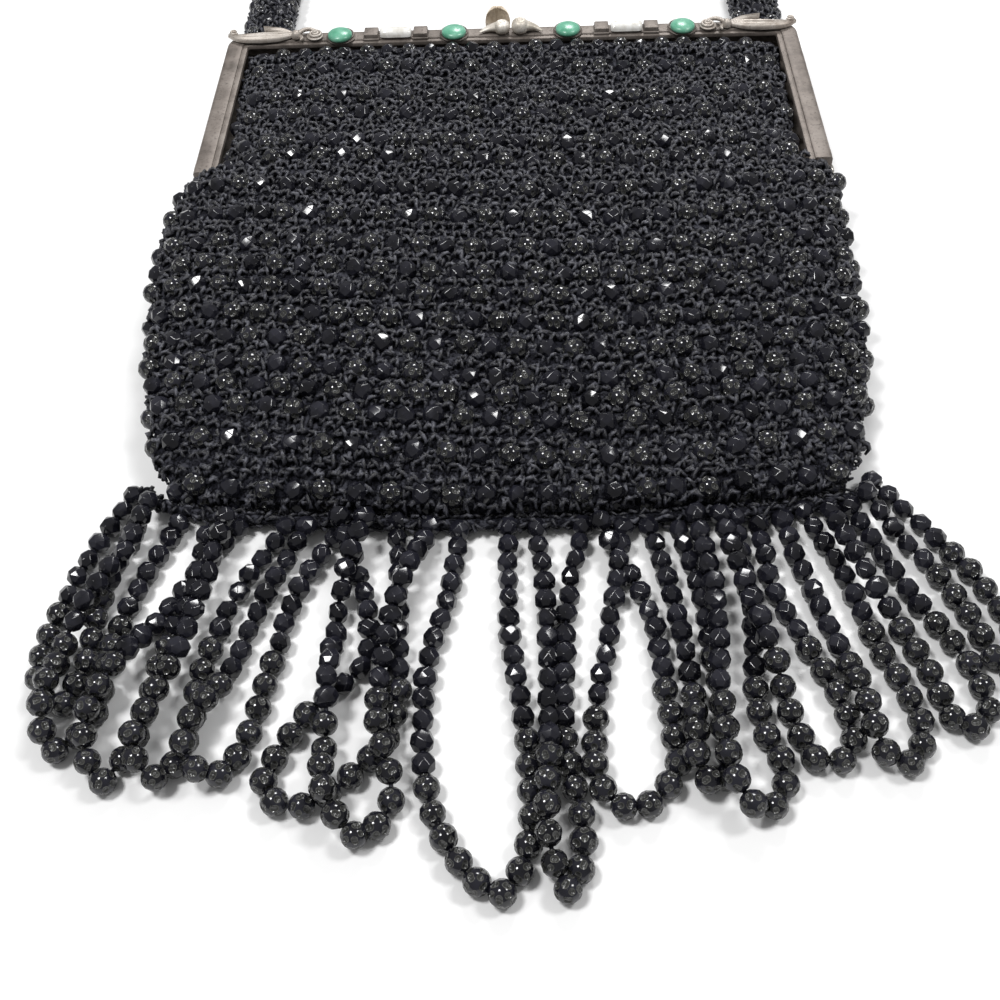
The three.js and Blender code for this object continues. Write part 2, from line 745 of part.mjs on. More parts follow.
addPiece('frame_front', frameFront(), tarnishedMetal);
addPiece('frame_back', frameBack(), tarnishedMetal);
addPiece('hinge_pin_left', hingePin(-1), brightMetal);
addPiece('hinge_pin_right', hingePin(1), brightMetal);
const stoneOffsets = [-stoneOuterOffset, -stoneInnerOffset, stoneInnerOffset, stoneOuterOffset];
stoneOffsets.forEach((x, i) => addPiece(`cabochon_${i + 1}`, cabochon(x), greenStone));
addPiece('white_bar_left', whiteBar(-1), whiteEnamel);
addPiece('white_bar_right', whiteBar(1), whiteEnamel);
addPiece('scroll_left', cornerScroll(-1), paleMetal);
addPiece('scroll_right', cornerScroll(1), paleMetal);
addPiece('clasp_knob_left', claspKnob(-1), paleMetal);
addPiece('clasp_knob_right', claspKnob(1), paleMetal);
addPiece('clasp_petal', claspPetal(), brownMetal);
addPiece('pouch', pouch(), blackCrochet);
addPiece('fringe', fringe(), blackBeads);
addPiece('strap', strap(), blackCrochet);

// The purse stands on z = 0 with its box centred over the origin
const box = new THREE.Box3().setFromObject(laidOut);
const centre = box.getCenter(new THREE.Vector3());
laidOut.position.set(-centre.x, -centre.y, -box.min.z);

export default purse;
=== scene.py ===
import math

import bmesh
import bpy
import numpy as np
from mathutils import Matrix, Vector


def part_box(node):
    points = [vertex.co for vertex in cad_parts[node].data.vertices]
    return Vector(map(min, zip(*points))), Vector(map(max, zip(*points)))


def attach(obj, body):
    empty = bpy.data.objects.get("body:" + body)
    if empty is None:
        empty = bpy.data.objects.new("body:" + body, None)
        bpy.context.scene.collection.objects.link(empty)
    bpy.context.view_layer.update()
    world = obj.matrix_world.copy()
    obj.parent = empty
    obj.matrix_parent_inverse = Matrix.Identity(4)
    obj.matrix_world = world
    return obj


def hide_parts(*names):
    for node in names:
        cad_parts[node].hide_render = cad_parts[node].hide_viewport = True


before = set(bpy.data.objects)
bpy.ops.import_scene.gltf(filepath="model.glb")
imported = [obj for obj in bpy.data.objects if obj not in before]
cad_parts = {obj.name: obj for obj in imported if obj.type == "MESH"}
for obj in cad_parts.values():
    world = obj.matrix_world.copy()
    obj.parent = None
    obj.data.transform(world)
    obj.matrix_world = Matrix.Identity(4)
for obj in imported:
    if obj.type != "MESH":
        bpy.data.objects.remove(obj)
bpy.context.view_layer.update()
rng = np.random.default_rng(7)

# Lengths are in millimetres and measured as in the part's layout: x = 0 is the middle of the
# purse frame, y = 0 the bottom edge of the pouch, z = 0 the table.
MM = 0.001


def node_box(node):
    low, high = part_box(node)
    return np.array(low) / MM, np.array(high) / MM


frame_low, frame_high = node_box("frame_front")
pouch_low, _ = node_box("pouch")
_, strap_high = node_box("strap")
ORIGIN = np.array([(frame_low[0] + frame_high[0]) / 2, pouch_low[1], 0.0])


def local_box(node):
    low, high = node_box(node)
    return low - ORIGIN, high - ORIGIN


# Frame
FRAME_HALF = (frame_high[0] - frame_low[0]) / 2
FRAME_TOP = frame_high[1] - ORIGIN[1]
ARM_LENGTH = 57.0
ARM_END = FRAME_TOP - ARM_LENGTH
FRAME_THICKNESS = 10.5
CORNER_RADIUS = 5.5
FACE_WIDTH = 5.0
LIP_WIDTH = 1.2
PLATE = 1.0
FLANGE = 1.2
BAR_Y = FRAME_TOP - FACE_WIDTH / 2
BAR_STATIONS = 12
CLEARANCE = 0.3
STONES = ["cabochon_1", "cabochon_2", "cabochon_3", "cabochon_4"]
BARS = ["white_bar_left", "white_bar_right"]
POST_HALF = 1.9

# Hinges
EAR_RADIUS = 3.4
EAR_THICKNESS = 1.2
EAR_Y = ARM_END + 1.5
OUTER_EAR_X = FRAME_HALF - EAR_THICKNESS / 2
INNER_EAR_X = OUTER_EAR_X - EAR_THICKNESS - CLEARANCE
PIN_RADIUS = 1.1
PIN_HEAD = 2.0

# Pouch
POUCH_LENGTH = 142.0
BELLY_HALF = 72.0
BELLY_LENGTH = EAR_Y - EAR_RADIUS - CLEARANCE
POUCH_THICKNESS = 18.0
THROAT_HALF = FRAME_HALF - FACE_WIDTH - CLEARANCE
CORNER_LIFT = 3.5
ROW_SAG = 4.2
SAG_FADE = 16.0
WALL = 1.5

# Powers that round the pouch's section: its outline, its front and back, and its throat
OUTLINE_POWER = 0.75
FRONT_POWER = 0.7
BACK_POWER = 0.5
THROAT_POWER = 0.26

# Beads. Jitters are the spread of random shifts, and BEAD_SIZES and STRAY_SHARE are shares.
ROUND_BEAD = 4.2
CUT_BEAD = 3.9
BEAD_PITCH = 5.05
WIDE_PITCH = 5.6
WIDE_ROWS = 2
BEAD_DEPTH = 2.1
BEAD_SIZES = (0.96, 1.03)
DIMPLE = 0.9
PLAIN_SHRINK = 0.97
FACET_ROUNDING = 0.12
FACET_EDGE = 0.11
FACET_SKEW = 0.035
ROW_WAVE = 0.3
BEAD_JITTER = 0.2
DEPTH_JITTER = 0.15
THREAD_JITTER = 0.1
TOP_ROW_RISE = 0.9
TOP_ROW_WIDENING = 0.9
STRAY_SHARE = 0.12

# Yarn. A course lies deeper where a row of beads is nearer than ROW_REACH.
STITCH_PITCH = 2.3
COURSE = 2.3
FIRST_COURSE = 0.9
LAST_COURSE = POUCH_LENGTH - 1.4
ROW_REACH = 1.0
UNDER_BEAD_DEPTH = 0.5
COURSE_JITTER = 0.3
STITCH_JITTER = 0.22
STITCH_TURN = 0.45
STITCH_SIZES = (0.88, 1.15)
STITCH_SPREAD = 0.2
STITCH_CLEARANCE = 1.1
STITCH_SPLIT = 0.48 * POUCH_LENGTH
YARN_RADIUS = 0.45
YARN_TIP = 0.55
CORD_END = 0.4
CORD_SLIP = 0.1
CORD_JITTER = 0.08

# Beads and stitches belong to the front where they point upwards by more than this
FRONT_BEADS = -0.2
FRONT_STITCHES = -0.1

# How deep the cloth lies under the pouch's outline: heights and depths
CLOTH_HEIGHTS = [0, 130, 137, POUCH_LENGTH]
CLOTH_DEPTHS = [2.6, 2.6, 1.6, 0.2]
CLOTH_INSET = 0.3
CLOTH_BOTTOM = 0.6
CLOTH_FLOOR = 4.0
CLOTH_TOP = POUCH_LENGTH - 0.2

# Fringe. The beads within ROUND_REACH of a string's tip are round.
STRING_RADIUS = 1.95
TABLE_GAP = 0.15
STRING_STEP = 2.0
THREAD_RADIUS = 0.35
EDGE_RADIUS = 1.2
EDGE_CORE = 0.85
EDGE_HEIGHT = 2.4
EDGE_TRIM = 3.0
EDGE_STATIONS = 240
EDGE_COURSE = 1.9
EDGE_PITCH = 2.2
LIFT_SLOPE = 0.45
CUT_PITCH = 3.75
ROUND_PITCH = 4.15
ROUND_REACH = 24.0
STRING_LEAD = 0.6
FIRST_BEAD = 0.3
LAST_BEAD_SHARE = 0.3
FRINGE_JITTER = 0.1

# Strap
STRAP_WIDTH = 13.5
STRAP_THICKNESS = 8.5
STRAP_HALF = FRAME_HALF - 0.25 - STRAP_WIDTH / 2
STRAP_TOP = strap_high[1] - ORIGIN[1] - STRAP_WIDTH / 2
STRAP_RADIUS = 58.0 - STRAP_WIDTH / 2
STRAP_CORE_INSET = 0.3
STRAP_YARN_INSET = (1.3, 1.1)
STRAP_BEADS_AROUND = 5
STRAP_BEAD_STEP = 4.9
STRAP_BEAD_JITTER = 0.25
STRAP_BEAD_TURN = math.pi / 10
STRAP_BEAD_MARGIN = 0.5
STRAP_FIRST_RING = 2.5
STRAP_LAST_RING = 2.0
STRAP_GAP = 0.3

# Rows of beads at the pouch's sides, as shares of its length, the same as in the part
BEAD_ROWS = [
    0.0162, 0.0803, 0.1317, 0.1662, 0.1979, 0.243, 0.288, 0.338, 0.376,
    0.4268, 0.4923, 0.5585, 0.632, 0.6775, 0.7613, 0.819, 0.9246, 0.9824,
]

# Pouch outline over the beads, the same as in the part, as shares. Belly: height, half width to the
# left and to the right, thickness. Throat: height above the belly in arm lengths, thickness.
BELLY = [
    (0.0, 0.8, 0.8, 0.42),
    (0.0324, 0.87, 0.855, 0.54),
    (0.0892, 0.915, 0.885, 0.66),
    (0.1783, 0.945, 0.91, 0.77),
    (0.3566, 0.985, 0.94, 0.9),
    (0.5836, 1.015, 0.96, 1.0),
    (0.7457, 1.025, 0.965, 1.0),
    (0.924, 1.0, 0.98, 1.0),
    (0.9726, 0.97, 0.97, 0.98),
]
THROAT = [(0.0, 0.98), (0.15, 0.95), (0.4, 0.88), (0.6, 0.79), (0.72, 0.72), (0.85, 0.665)]

# Routes of the looped strings of beads, the same as in the part
FRINGE_ROUTES = [
    [(-67, 8), (-71, -2.5), (-74.5, -16.5), (-75.5, -30.5), (-71.5, -36.5), (-68.5, -30), (-68.5, -15),
     (-65, 1)],
    [(-63, 4), (-65, -7), (-70.5, -20.5), (-72.5, -34.5), (-70, -44), (-65.5, -39), (-64.5, -25),
     (-62, -11), (-58, 0)],
    [(-47, 0), (-54, -12), (-60.5, -26), (-65, -41), (-62, -49), (-58, -43), (-56.5, -29), (-53.5, -14),
     (-53, 0)],
    [(-49, 0), (-51.5, -19), (-55.5, -37), (-57, -45), (-53, -49), (-50, -43), (-49.5, -31),
     (-45.5, -14), (-39, -0.5)],
    [(-35, -0.5), (-40.5, -13.5), (-44.5, -29), (-49, -45), (-45, -49), (-41, -43.5), (-38.5, -29.5),
     (-35.5, -13.5), (-29, -0.5)],
    [(-30, -0.5), (-24.5, -16.5), (-23.5, -28.5), (-31.5, -37.5), (-37, -50.5), (-32, -53.5),
     (-24, -48.5), (-18.5, -40.5), (-18.5, -23.5), (-20, -0.5)],
    [(-25, -0.5), (-28.5, -17.5), (-28.5, -37.5), (-27, -53.5), (-22, -58.5), (-18, -52.5),
     (-20.5, -40.5), (-19.5, -21.5), (-14, -0.5)],
    [(-9, -1), (-10.5, -15), (-13.5, -29), (-13, -50), (-8, -62), (-2, -67), (2, -60), (2, -44),
     (-0.5, -25), (-1, -1)],
    [(4, -1), (5.5, -22), (5.5, -41), (5, -60), (8, -67), (10, -59), (8, -45), (8.5, -22), (12, -1)],
    [(19, -1), (15.5, -23.5), (12.5, -40), (13, -51.5), (18, -54.5), (24, -48.5), (23.5, -36.5),
     (22.5, -21.5), (14, -1)],
    [(23, -1), (26.5, -20.5), (27.5, -38.5), (27, -48.5), (30, -51.5), (32, -45.5), (31.5, -30.5),
     (30.5, -14.5), (28, -0.5)],
    [(31, -0.5), (32.5, -20.5), (31.5, -36.5), (32, -51.5), (36, -55.5), (40, -49.5), (37.5, -40.5),
     (38.5, -20.5), (38, -0.5)],
    [(35, -0.5), (37.5, -16.5), (40.5, -30.5), (45, -47), (50, -46), (50.5, -38), (46.5, -27),
     (42.5, -15), (42, 0)],
    [(46, 0), (48.5, -15), (52.5, -31), (55, -46), (59, -48), (61.5, -41), (57.5, -27), (55, -14),
     (50, 0.5)],
    [(54, 1), (57.5, -15), (63.5, -28), (67.5, -42), (71.5, -40.5), (71.5, -32.5), (65.5, -19),
     (61, -7), (58, 2)],
    [(60, 3), (67, -8), (72.5, -19.5), (76.5, -32.5), (79.5, -28.5), (77.5, -17.5), (71, -5.5), (63, 7)],
]


# Shapes are pairs of arrays: points and triangles

def joined(shapes):
    points = []
    triangles = []
    count = 0
    for shape_points, shape_triangles in shapes:
        points.append(shape_points)
        triangles.append(shape_triangles + count)
        count += len(shape_points)
    return np.concatenate(points), np.concatenate(triangles)


def loft(rings, start=None, end=None):
    """Closed surface through rings of points, with a fan over each end."""
    rings = np.asarray(rings, dtype=float)
    rows, count = rings.shape[:2]
    here = np.arange(count)
    after = (here + 1) % count
    base = np.arange(rows - 1)[:, None] * count
    a, b = base + here, base + after
    c, d = b + count, a + count
    sides = np.stack([np.stack([a, b, c], -1), np.stack([a, c, d], -1)]).reshape(-1, 3)
    start = rings[0].mean(axis=0) if start is None else np.asarray(start, dtype=float)
    end = rings[-1].mean(axis=0) if end is None else np.asarray(end, dtype=float)
    points = np.concatenate([rings.reshape(-1, 3), [start, end]])
    first = np.stack([np.full(count, rows * count), after, here], -1)
    top = (rows - 1) * count
    last = np.stack([np.full(count, rows * count + 1), top + here, top + after], -1)
    return points, np.concatenate([sides, first, last])


def sheet_of(front, back):
    """Closed slab between two grids of points of the same size."""
    front = np.asarray(front, dtype=float)
    back = np.asarray(back, dtype=float)
    rings = [np.concatenate([front[row], back[row][::-1]]) for row in range(len(front))]
    return loft(rings)


def lathe(profile, sides):
    """Turned solid about +Z from (radius, height) pairs that start and end on the axis."""
    angles = np.arange(sides) * 2 * math.pi / sides
    circle = np.stack([np.cos(angles), np.sin(angles), np.zeros(sides)], -1)
    rings = [circle * radius + [0, 0, height] for radius, height in profile[1:-1]]
    return loft(rings, [0, 0, profile[0][1]], [0, 0, profile[-1][1]])


def moved(shape, offset):
    return shape[0] + np.asarray(offset, dtype=float), shape[1]


def turned(shape, matrix):
    points = shape[0] @ np.array(matrix).T
    triangles = shape[1] if np.linalg.det(np.array(matrix)) > 0 else shape[1][:, ::-1]
    return points, triangles


def mirrored(shape):
    return turned(shape, np.diag([-1.0, 1.0, 1.0]))


def rotation(axis, degrees):
    return np.array(Matrix.Rotation(math.radians(degrees), 3, axis))


def unit(vectors):
    return vectors / np.linalg.norm(vectors, axis=-1, keepdims=True)


def path_frames(path):
    """Tangent, sideways and upward directions along a path, turned as little as possible."""
    tangents = unit(np.gradient(path, axis=0))
    up = np.array([0.0, 0.0, 1.0])
    if abs(tangents[0] @ up) > 0.95:
        up = np.array([0.0, 1.0, 0.0])
    sides = []
    ups = []
    for tangent in tangents:
        side = unit(np.cross(up, tangent))
        up = unit(np.cross(tangent, side))
        sides.append(side)
        ups.append(up)
    return tangents, np.array(sides), np.array(ups)


def tube(path, radius, sides, flat=1.0):
    """Tube along a path. radius may be one number or one per point; flat squeezes its height."""
    path = np.asarray(path, dtype=float)
    _, side, up = path_frames(path)
    radii = np.broadcast_to(radius, len(path))[:, None, None]
    angles = np.arange(sides) * 2 * math.pi / sides
    wide = np.cos(angles)[None, :, None] * side[:, None, :]
    high = np.sin(angles)[None, :, None] * up[:, None, :] * flat
    return loft(path[:, None, :] + radii * (wide + high))


def stamped(template, centres, frames):
    """Copies of a template, one per centre, each turned by its own frame (columns are axes)."""
    points, triangles = template
    placed = np.einsum("nij,kj->nki", frames, points) + centres[:, None, :]
    shifts = np.arange(len(centres))[:, None, None] * len(points)
    return placed.reshape(-1, 3), (triangles[None] + shifts).reshape(-1, 3)


def smooth_path(points, per_span=24):
    """Centripetal spline through points, densely sampled."""
    points = np.asarray(points, dtype=float)
    before = 2 * points[0] - points[1]
    after = 2 * points[-1] - points[-2]
    knots = np.concatenate([[before], points, [after]])
    share = np.linspace(0, 1, per_span, endpoint=False)[:, None]
    samples = []
    for i in range(1, len(knots) - 2):
        p0, p1, p2, p3 = knots[i - 1:i + 3]
        d0, d1, d2 = (math.sqrt(np.linalg.norm(b - a)) for a, b in ((p0, p1), (p1, p2), (p2, p3)))
        m1 = ((p1 - p0) / d0 - (p2 - p0) / (d0 + d1) + (p2 - p1) / d1) * d1
        m2 = ((p2 - p1) / d1 - (p3 - p1) / (d1 + d2) + (p3 - p2) / d2) * d1
        cubic = 2 * p1 - 2 * p2 + m1 + m2
        square = -3 * p1 + 3 * p2 - 2 * m1 - m2
        samples.append(p1 + m1 * share + square * share ** 2 + cubic * share ** 3)
    samples.append(points[-1:])
    return np.concatenate(samples)


def path_lengths(path):
    steps = np.linalg.norm(np.diff(path, axis=0), axis=1)
    return np.concatenate([[0.0], np.cumsum(steps)])


def at_lengths(path, wanted):
    """Points of a path at given distances from its start."""
    lengths = path_lengths(path)
    return np.stack([np.interp(wanted, lengths, path[:, axis]) for axis in range(3)], -1)


def resampled(path, spacing):
    total = path_lengths(path)[-1]
    count = max(2, round(total / spacing) + 1)
    return at_lengths(path, np.linspace(0, total, count))


# Materials

def add_node(material, kind, **values):
    node = material.node_tree.nodes.new(kind)
    for name, value in values.items():
        if hasattr(node, name):
            setattr(node, name, value)
        else:
            node.inputs[name.replace("_", " ").title()].default_value = value
    return node


def link(material, source, target):
    material.node_tree.links.new(source, target)


def start_material(name, **values):
    """Material whose shader has the given constants. Names use underscores for spaces."""
    material = bpy.data.materials.new(name)
    material.use_nodes = True
    shader = material.node_tree.nodes["Principled BSDF"]
    for socket, value in values.items():
        shader.inputs[socket.replace("_", " ")].default_value = value
    return material


def feed(material, source, socket):
    """Link a source to a socket of the material's shader."""
    link(material, source, material.node_tree.nodes["Principled BSDF"].inputs[socket])


def noise(material, scale, detail, roughness):
    place = add_node(material, "ShaderNodeTexCoord")
    texture = add_node(material, "ShaderNodeTexNoise", scale=scale, detail=detail, roughness=roughness)
    link(material, place.outputs["Object"], texture.inputs["Vector"])
    return texture.outputs["Fac"]


def ramp(material, factor, stops):
    """Colour ramp: stops are (position, colour) pairs."""
    node = add_node(material, "ShaderNodeValToRGB")
    elements = node.color_ramp.elements
    while len(elements) < len(stops):
        elements.new(1.0)
    for element, (position, colour) in zip(elements, stops):
        element.position = position
        element.color = (*colour, 1.0)
    link(material, factor, node.inputs["Fac"])
    return node.outputs["Color"]


def span(material, factor, low, high, start, end):
    """Factor between start and end mapped to numbers between low and high."""
    node = add_node(material, "ShaderNodeMapRange")
    for socket, value in (("From Min", start), ("From Max", end), ("To Min", low), ("To Max", high)):
        node.inputs[socket].default_value = value
    link(material, factor, node.inputs["Value"])
    return node.outputs["Result"]


def blend(material, factor, colour_a, colour_b):
    node = add_node(material, "ShaderNodeMix", data_type="RGBA")
    sockets = (node.inputs["Factor"], node.inputs[6], node.inputs[7])
    for socket, value in zip(sockets, (factor, colour_a, colour_b)):
        if isinstance(value, bpy.types.NodeSocket):
            link(material, value, socket)
        elif isinstance(value, tuple):
            socket.default_value = (*value, 1.0)
        else:
            socket.default_value = value
    return node.outputs[2]


def bump(material, height, distance, strength=1.0):
    node = add_node(material, "ShaderNodeBump")
    node.inputs["Distance"].default_value = distance * MM
    node.inputs["Strength"].default_value = strength
    link(material, height, node.inputs["Height"])
    feed(material, node.outputs["Normal"], "Normal")


def worn_metal(name, dark, mid, light, rough, metallic, grain=1.0):
    """Old plated metal gone dull, with cloudy tarnish, fine scratches and pits.

    rough: lowest and highest roughness.
    """
    material = start_material(name, Metallic=metallic)
    clouds = noise(material, 130.0 * grain, 6.0, 0.65)
    specks = noise(material, 1500.0 * grain, 3.0, 0.7)
    tone = ramp(material, clouds, [(0.34, dark), (0.5, mid), (0.68, light)])
    spots = span(material, specks, 1.0, 0.0, 0.34, 0.44)
    feed(material, blend(material, spots, tone, dark), "Base Color")
    feed(material, span(material, clouds, *rough, 0.3, 0.7), "Roughness")
    bump(material, specks, 0.05, 0.5)
    return material


def green_glass_stone():
    material = start_material(
        "green_stone", Roughness=0.28, IOR=1.5, Subsurface_Weight=0.2,
        Subsurface_Radius=(0.0006, 0.0012, 0.0009))
    clouds = noise(material, 420.0, 5.0, 0.6)
    crumbs = noise(material, 1700.0, 3.0, 0.75)
    body = ramp(material, clouds, [
        (0.35, (0.09, 0.31, 0.2)), (0.5, (0.13, 0.38, 0.26)), (0.66, (0.2, 0.45, 0.33))])
    flecks = span(material, crumbs, 0.0, 0.5, 0.6, 0.7)
    feed(material, blend(material, flecks, body, (0.4, 0.58, 0.48)), "Base Color")
    bump(material, crumbs, 0.02, 0.3)
    return material


def white_enamel():
    material = start_material("white_enamel", Roughness=0.22, Coat_Weight=0.4)
    clouds = noise(material, 500.0, 4.0, 0.6)
    tone = ramp(material, clouds, [
        (0.35, (0.62, 0.6, 0.55)), (0.55, (0.8, 0.79, 0.76)), (0.75, (0.86, 0.86, 0.85))])
    feed(material, tone, "Base Color")
    bump(material, clouds, 0.04, 0.4)
    return material


def black_yarn(name, tone, shine, roughness):
    """Crochet cotton: dark, slightly waxed, with fine twisted fibres and random pale patches of painted
    sheen.
    """
    material = start_material(name, Roughness=roughness, Specular_IOR_Level=shine)
    fibres = noise(material, 2600.0, 4.0, 0.7)
    patches = noise(material, 650.0, 3.0, 0.6)
    low = (tone * 0.1, tone * 0.1, tone * 0.16)
    high = (tone * 1.4, tone * 1.42, tone * 2.0)
    # Pale patches at random places are painted sheen: painted highlights standing in for the light on the
    # waxed yarn.
    painted_sheen = (tone * 4.8, tone * 4.9, tone * 6.0)
    threads = ramp(material, fibres, [(0.42, low), (0.6, high)])
    painted_sheen_patches = span(material, patches, 0.0, 0.8, 0.5, 0.64)
    feed(material, blend(material, painted_sheen_patches, threads, painted_sheen), "Base Color")
    bump(material, fibres, 0.16, 0.9)
    return material


def dark_glass(name, rough_low, rough_high):
    """Old glass beads: nearly black and glossy, with a faint haze. Returns its tone as well."""
    material = start_material(name, IOR=1.5)
    haze = noise(material, 210.0, 2.0, 0.5)
    tone = ramp(material, haze, [(0.35, (0.004, 0.004, 0.006)), (0.65, (0.015, 0.015, 0.022))])
    feed(material, span(material, haze, rough_low, rough_high, 0.35, 0.65), "Roughness")
    return material, tone


def cut_glass():
    material, tone = dark_glass("cut_bead_glass", 0.06, 0.17)
    feed(material, tone, "Base Color")
    bump(material, noise(material, 1900.0, 3.0, 0.7), 0.012, 0.35)
    return material


def pit_directions():
    """One corner of each kind of the 32-sided ball in the positive octant, with weights of one."""
    golden = (1 + math.sqrt(5)) / 2
    corners = [(0, 1, golden), (1, golden, 0), (golden, 0, 1), (1, 1, 1),
               (0, 1 / golden, golden), (1 / golden, golden, 0), (golden, 0, 1 / golden)]
    return unit(np.array(corners, dtype=float))


def vector_math(material, operation, first, second=None):
    node = add_node(material, "ShaderNodeVectorMath", operation=operation)
    for socket, value in zip(node.inputs, (first, second)):
        if isinstance(value, bpy.types.NodeSocket):
            link(material, value, socket)
        elif value is not None:
            socket.default_value = value
    return node


def larger(material, first, second):
    node = add_node(material, "ShaderNodeMath", operation="MAXIMUM")
    link(material, first, node.inputs[0])
    link(material, second, node.inputs[1])
    return node.outputs[0]


def pitted_glass():
    """Moulded glass with a small round pit at each dimple of the bead's ball; each pit has a painted
    highlight ring at its rim and a painted reflection in its middle.
    """
    pit_degrees = 15.0
    pit_depth = 0.42
    material, tone = dark_glass("round_bead_glass", 0.06, 0.16)
    ball = add_node(material, "ShaderNodeAttribute", attribute_name="bead_ball")
    place = vector_math(material, "NORMALIZE", ball.outputs["Vector"])
    place = vector_math(material, "ABSOLUTE", place.outputs["Vector"])
    nearest = None
    for corner in pit_directions():
        along = vector_math(material, "DOT_PRODUCT", place.outputs["Vector"], corner).outputs["Value"]
        nearest = along if nearest is None else larger(material, nearest, along)
    rim = math.cos(math.radians(pit_degrees))
    bump(material, span(material, nearest, 1.0, 0.0, rim, 1.0), pit_depth)
    # Painted light in each pit: a pale ring just inside its rim is a painted highlight, and its middle is
    # painted mid grey as a painted reflection; only the bump gives the pit's real shape.
    inside = span(material, nearest, 0.0, 1.0, rim - 0.002, rim + 0.006)
    deep = span(material, nearest, 0.0, 1.0, rim + 0.008, rim + 0.02)
    painted_rim_highlight = blend(material, inside, tone, (0.11, 0.11, 0.1))
    feed(material, blend(material, deep, painted_rim_highlight, (0.035, 0.035, 0.034)), "Base Color")
    return material


def table_paper():
    material = start_material("table_paper", Roughness=0.9, Specular_IOR_Level=0.1)
    grain = noise(material, 60.0, 3.0, 0.5)
    feed(material, ramp(material, grain, [(0.3, (0.86, 0.86, 0.86)), (0.7, (0.9, 0.9, 0.9))]), "Base Color")
    return material


FRAME_METAL = worn_metal(
    "frame_metal", dark=(0.1, 0.085, 0.074), mid=(0.19, 0.163, 0.145), light=(0.25, 0.222, 0.2),
    rough=(0.5, 0.62), metallic=0.45)
BRIGHT_METAL = worn_metal(
    "bright_metal", dark=(0.3, 0.28, 0.25), mid=(0.56, 0.54, 0.5), light=(0.72, 0.71, 0.68),
    rough=(0.24, 0.38), metallic=0.9)
SCROLL_METAL = worn_metal(
    "scroll_metal", dark=(0.24, 0.2, 0.17), mid=(0.42, 0.38, 0.34), light=(0.52, 0.48, 0.44),
    rough=(0.42, 0.56), metallic=0.45, grain=1.6)
PALE_METAL = worn_metal(
    "pale_metal", dark=(0.42, 0.38, 0.32), mid=(0.68, 0.63, 0.56), light=(0.78, 0.75, 0.7),
    rough=(0.4, 0.55), metallic=0.35, grain=1.6)
BROWN_METAL = worn_metal(
    "brown_metal", dark=(0.5, 0.4, 0.29), mid=(0.76, 0.65, 0.52), light=(0.86, 0.78, 0.68),
    rough=(0.35, 0.5), metallic=0.12, grain=1.6)
GREEN_STONE = green_glass_stone()
WHITE_ENAMEL = white_enamel()
YARN = black_yarn("black_crochet", tone=0.017, shine=0.5, roughness=0.45)
# The cloth under the stitches, cords and threads is a little darker than the yarn: painted shade for the gaps
# between the stitches.
CLOTH = black_yarn("black_cloth_shade_darkened", tone=0.012, shine=0.1, roughness=0.9)
ROUND_GLASS = pitted_glass()
CUT_GLASS = cut_glass()


def make_piece(name, shape, material, replaces=None, crease=None, normals=None, ball=None):
    """Mesh object from points in millimetres.

    replaces: the node that the piece takes the place of. crease: angle in degrees above which edges
    stay sharp. normals: one per point, where the shading is given. ball: for round beads, the place
    of each point on its bead's unit ball.
    """
    points, triangles = shape
    mesh = bpy.data.meshes.new(name)
    mesh.vertices.add(len(points))
    mesh.vertices.foreach_set("co", ((points + ORIGIN) * MM).astype(np.float32).ravel())
    mesh.loops.add(3 * len(triangles))
    mesh.loops.foreach_set("vertex_index", triangles.astype(np.int32).ravel())
    mesh.polygons.add(len(triangles))
    mesh.polygons.foreach_set("loop_start", np.arange(0, 3 * len(triangles), 3, dtype=np.int32))
    mesh.update(calc_edges=True)
    mesh.validate()
    mesh.polygons.foreach_set("use_smooth", np.full(len(mesh.polygons), True))
    if crease is not None:
        mesh.set_sharp_from_angle(angle=math.radians(crease))
    if normals is not None:
        mesh.normals_split_custom_set_from_vertices(normals)
    if ball is not None:
        places = mesh.attributes.new("bead_ball", "FLOAT_VECTOR", "POINT")
        places.data.foreach_set("vector", ball.astype(np.float32).ravel())
    mesh.materials.append(material)
    piece = bpy.data.objects.new(name, mesh)
    bpy.context.scene.collection.objects.link(piece)
    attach(piece, "root")
    if replaces:
        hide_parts(replaces)


# Frame halves

def arch_route(half, top, foot, radius, steps=10):
    """Points and inward directions along an upside-down U, from its left foot to its right one."""
    turn = np.linspace(0, math.pi / 2, steps + 1)
    left = [((-half, foot), (1.0, 0.0)), ((-half, (foot + top - radius) / 2), (1.0, 0.0))]
    for angle in turn:
        inward = (math.cos(angle), -math.sin(angle))
        left.append(((-half + radius - radius * inward[0], top - radius - radius * inward[1]), inward))
    right = [((-x, y), (-u, v)) for (x, y), (u, v) in reversed(left)]
    bar = np.linspace(-half + radius, half - radius, BAR_STATIONS)[1:-1]
    middle = [((x, top), (0.0, -1.0)) for x in bar]
    places, inward = zip(*(left + middle + right))
    return np.array(places), np.array(inward)


def swept_arch(profile, half, top, foot, radius):
    """Profile points are (distance inwards from the outline, height)."""
    places, inward = arch_route(half, top, foot, radius)
    rings = []
    for place, direction in zip(places, inward):
        rings.append([(*(place + direction * inset), height) for inset, height in profile])
    return loft(rings)


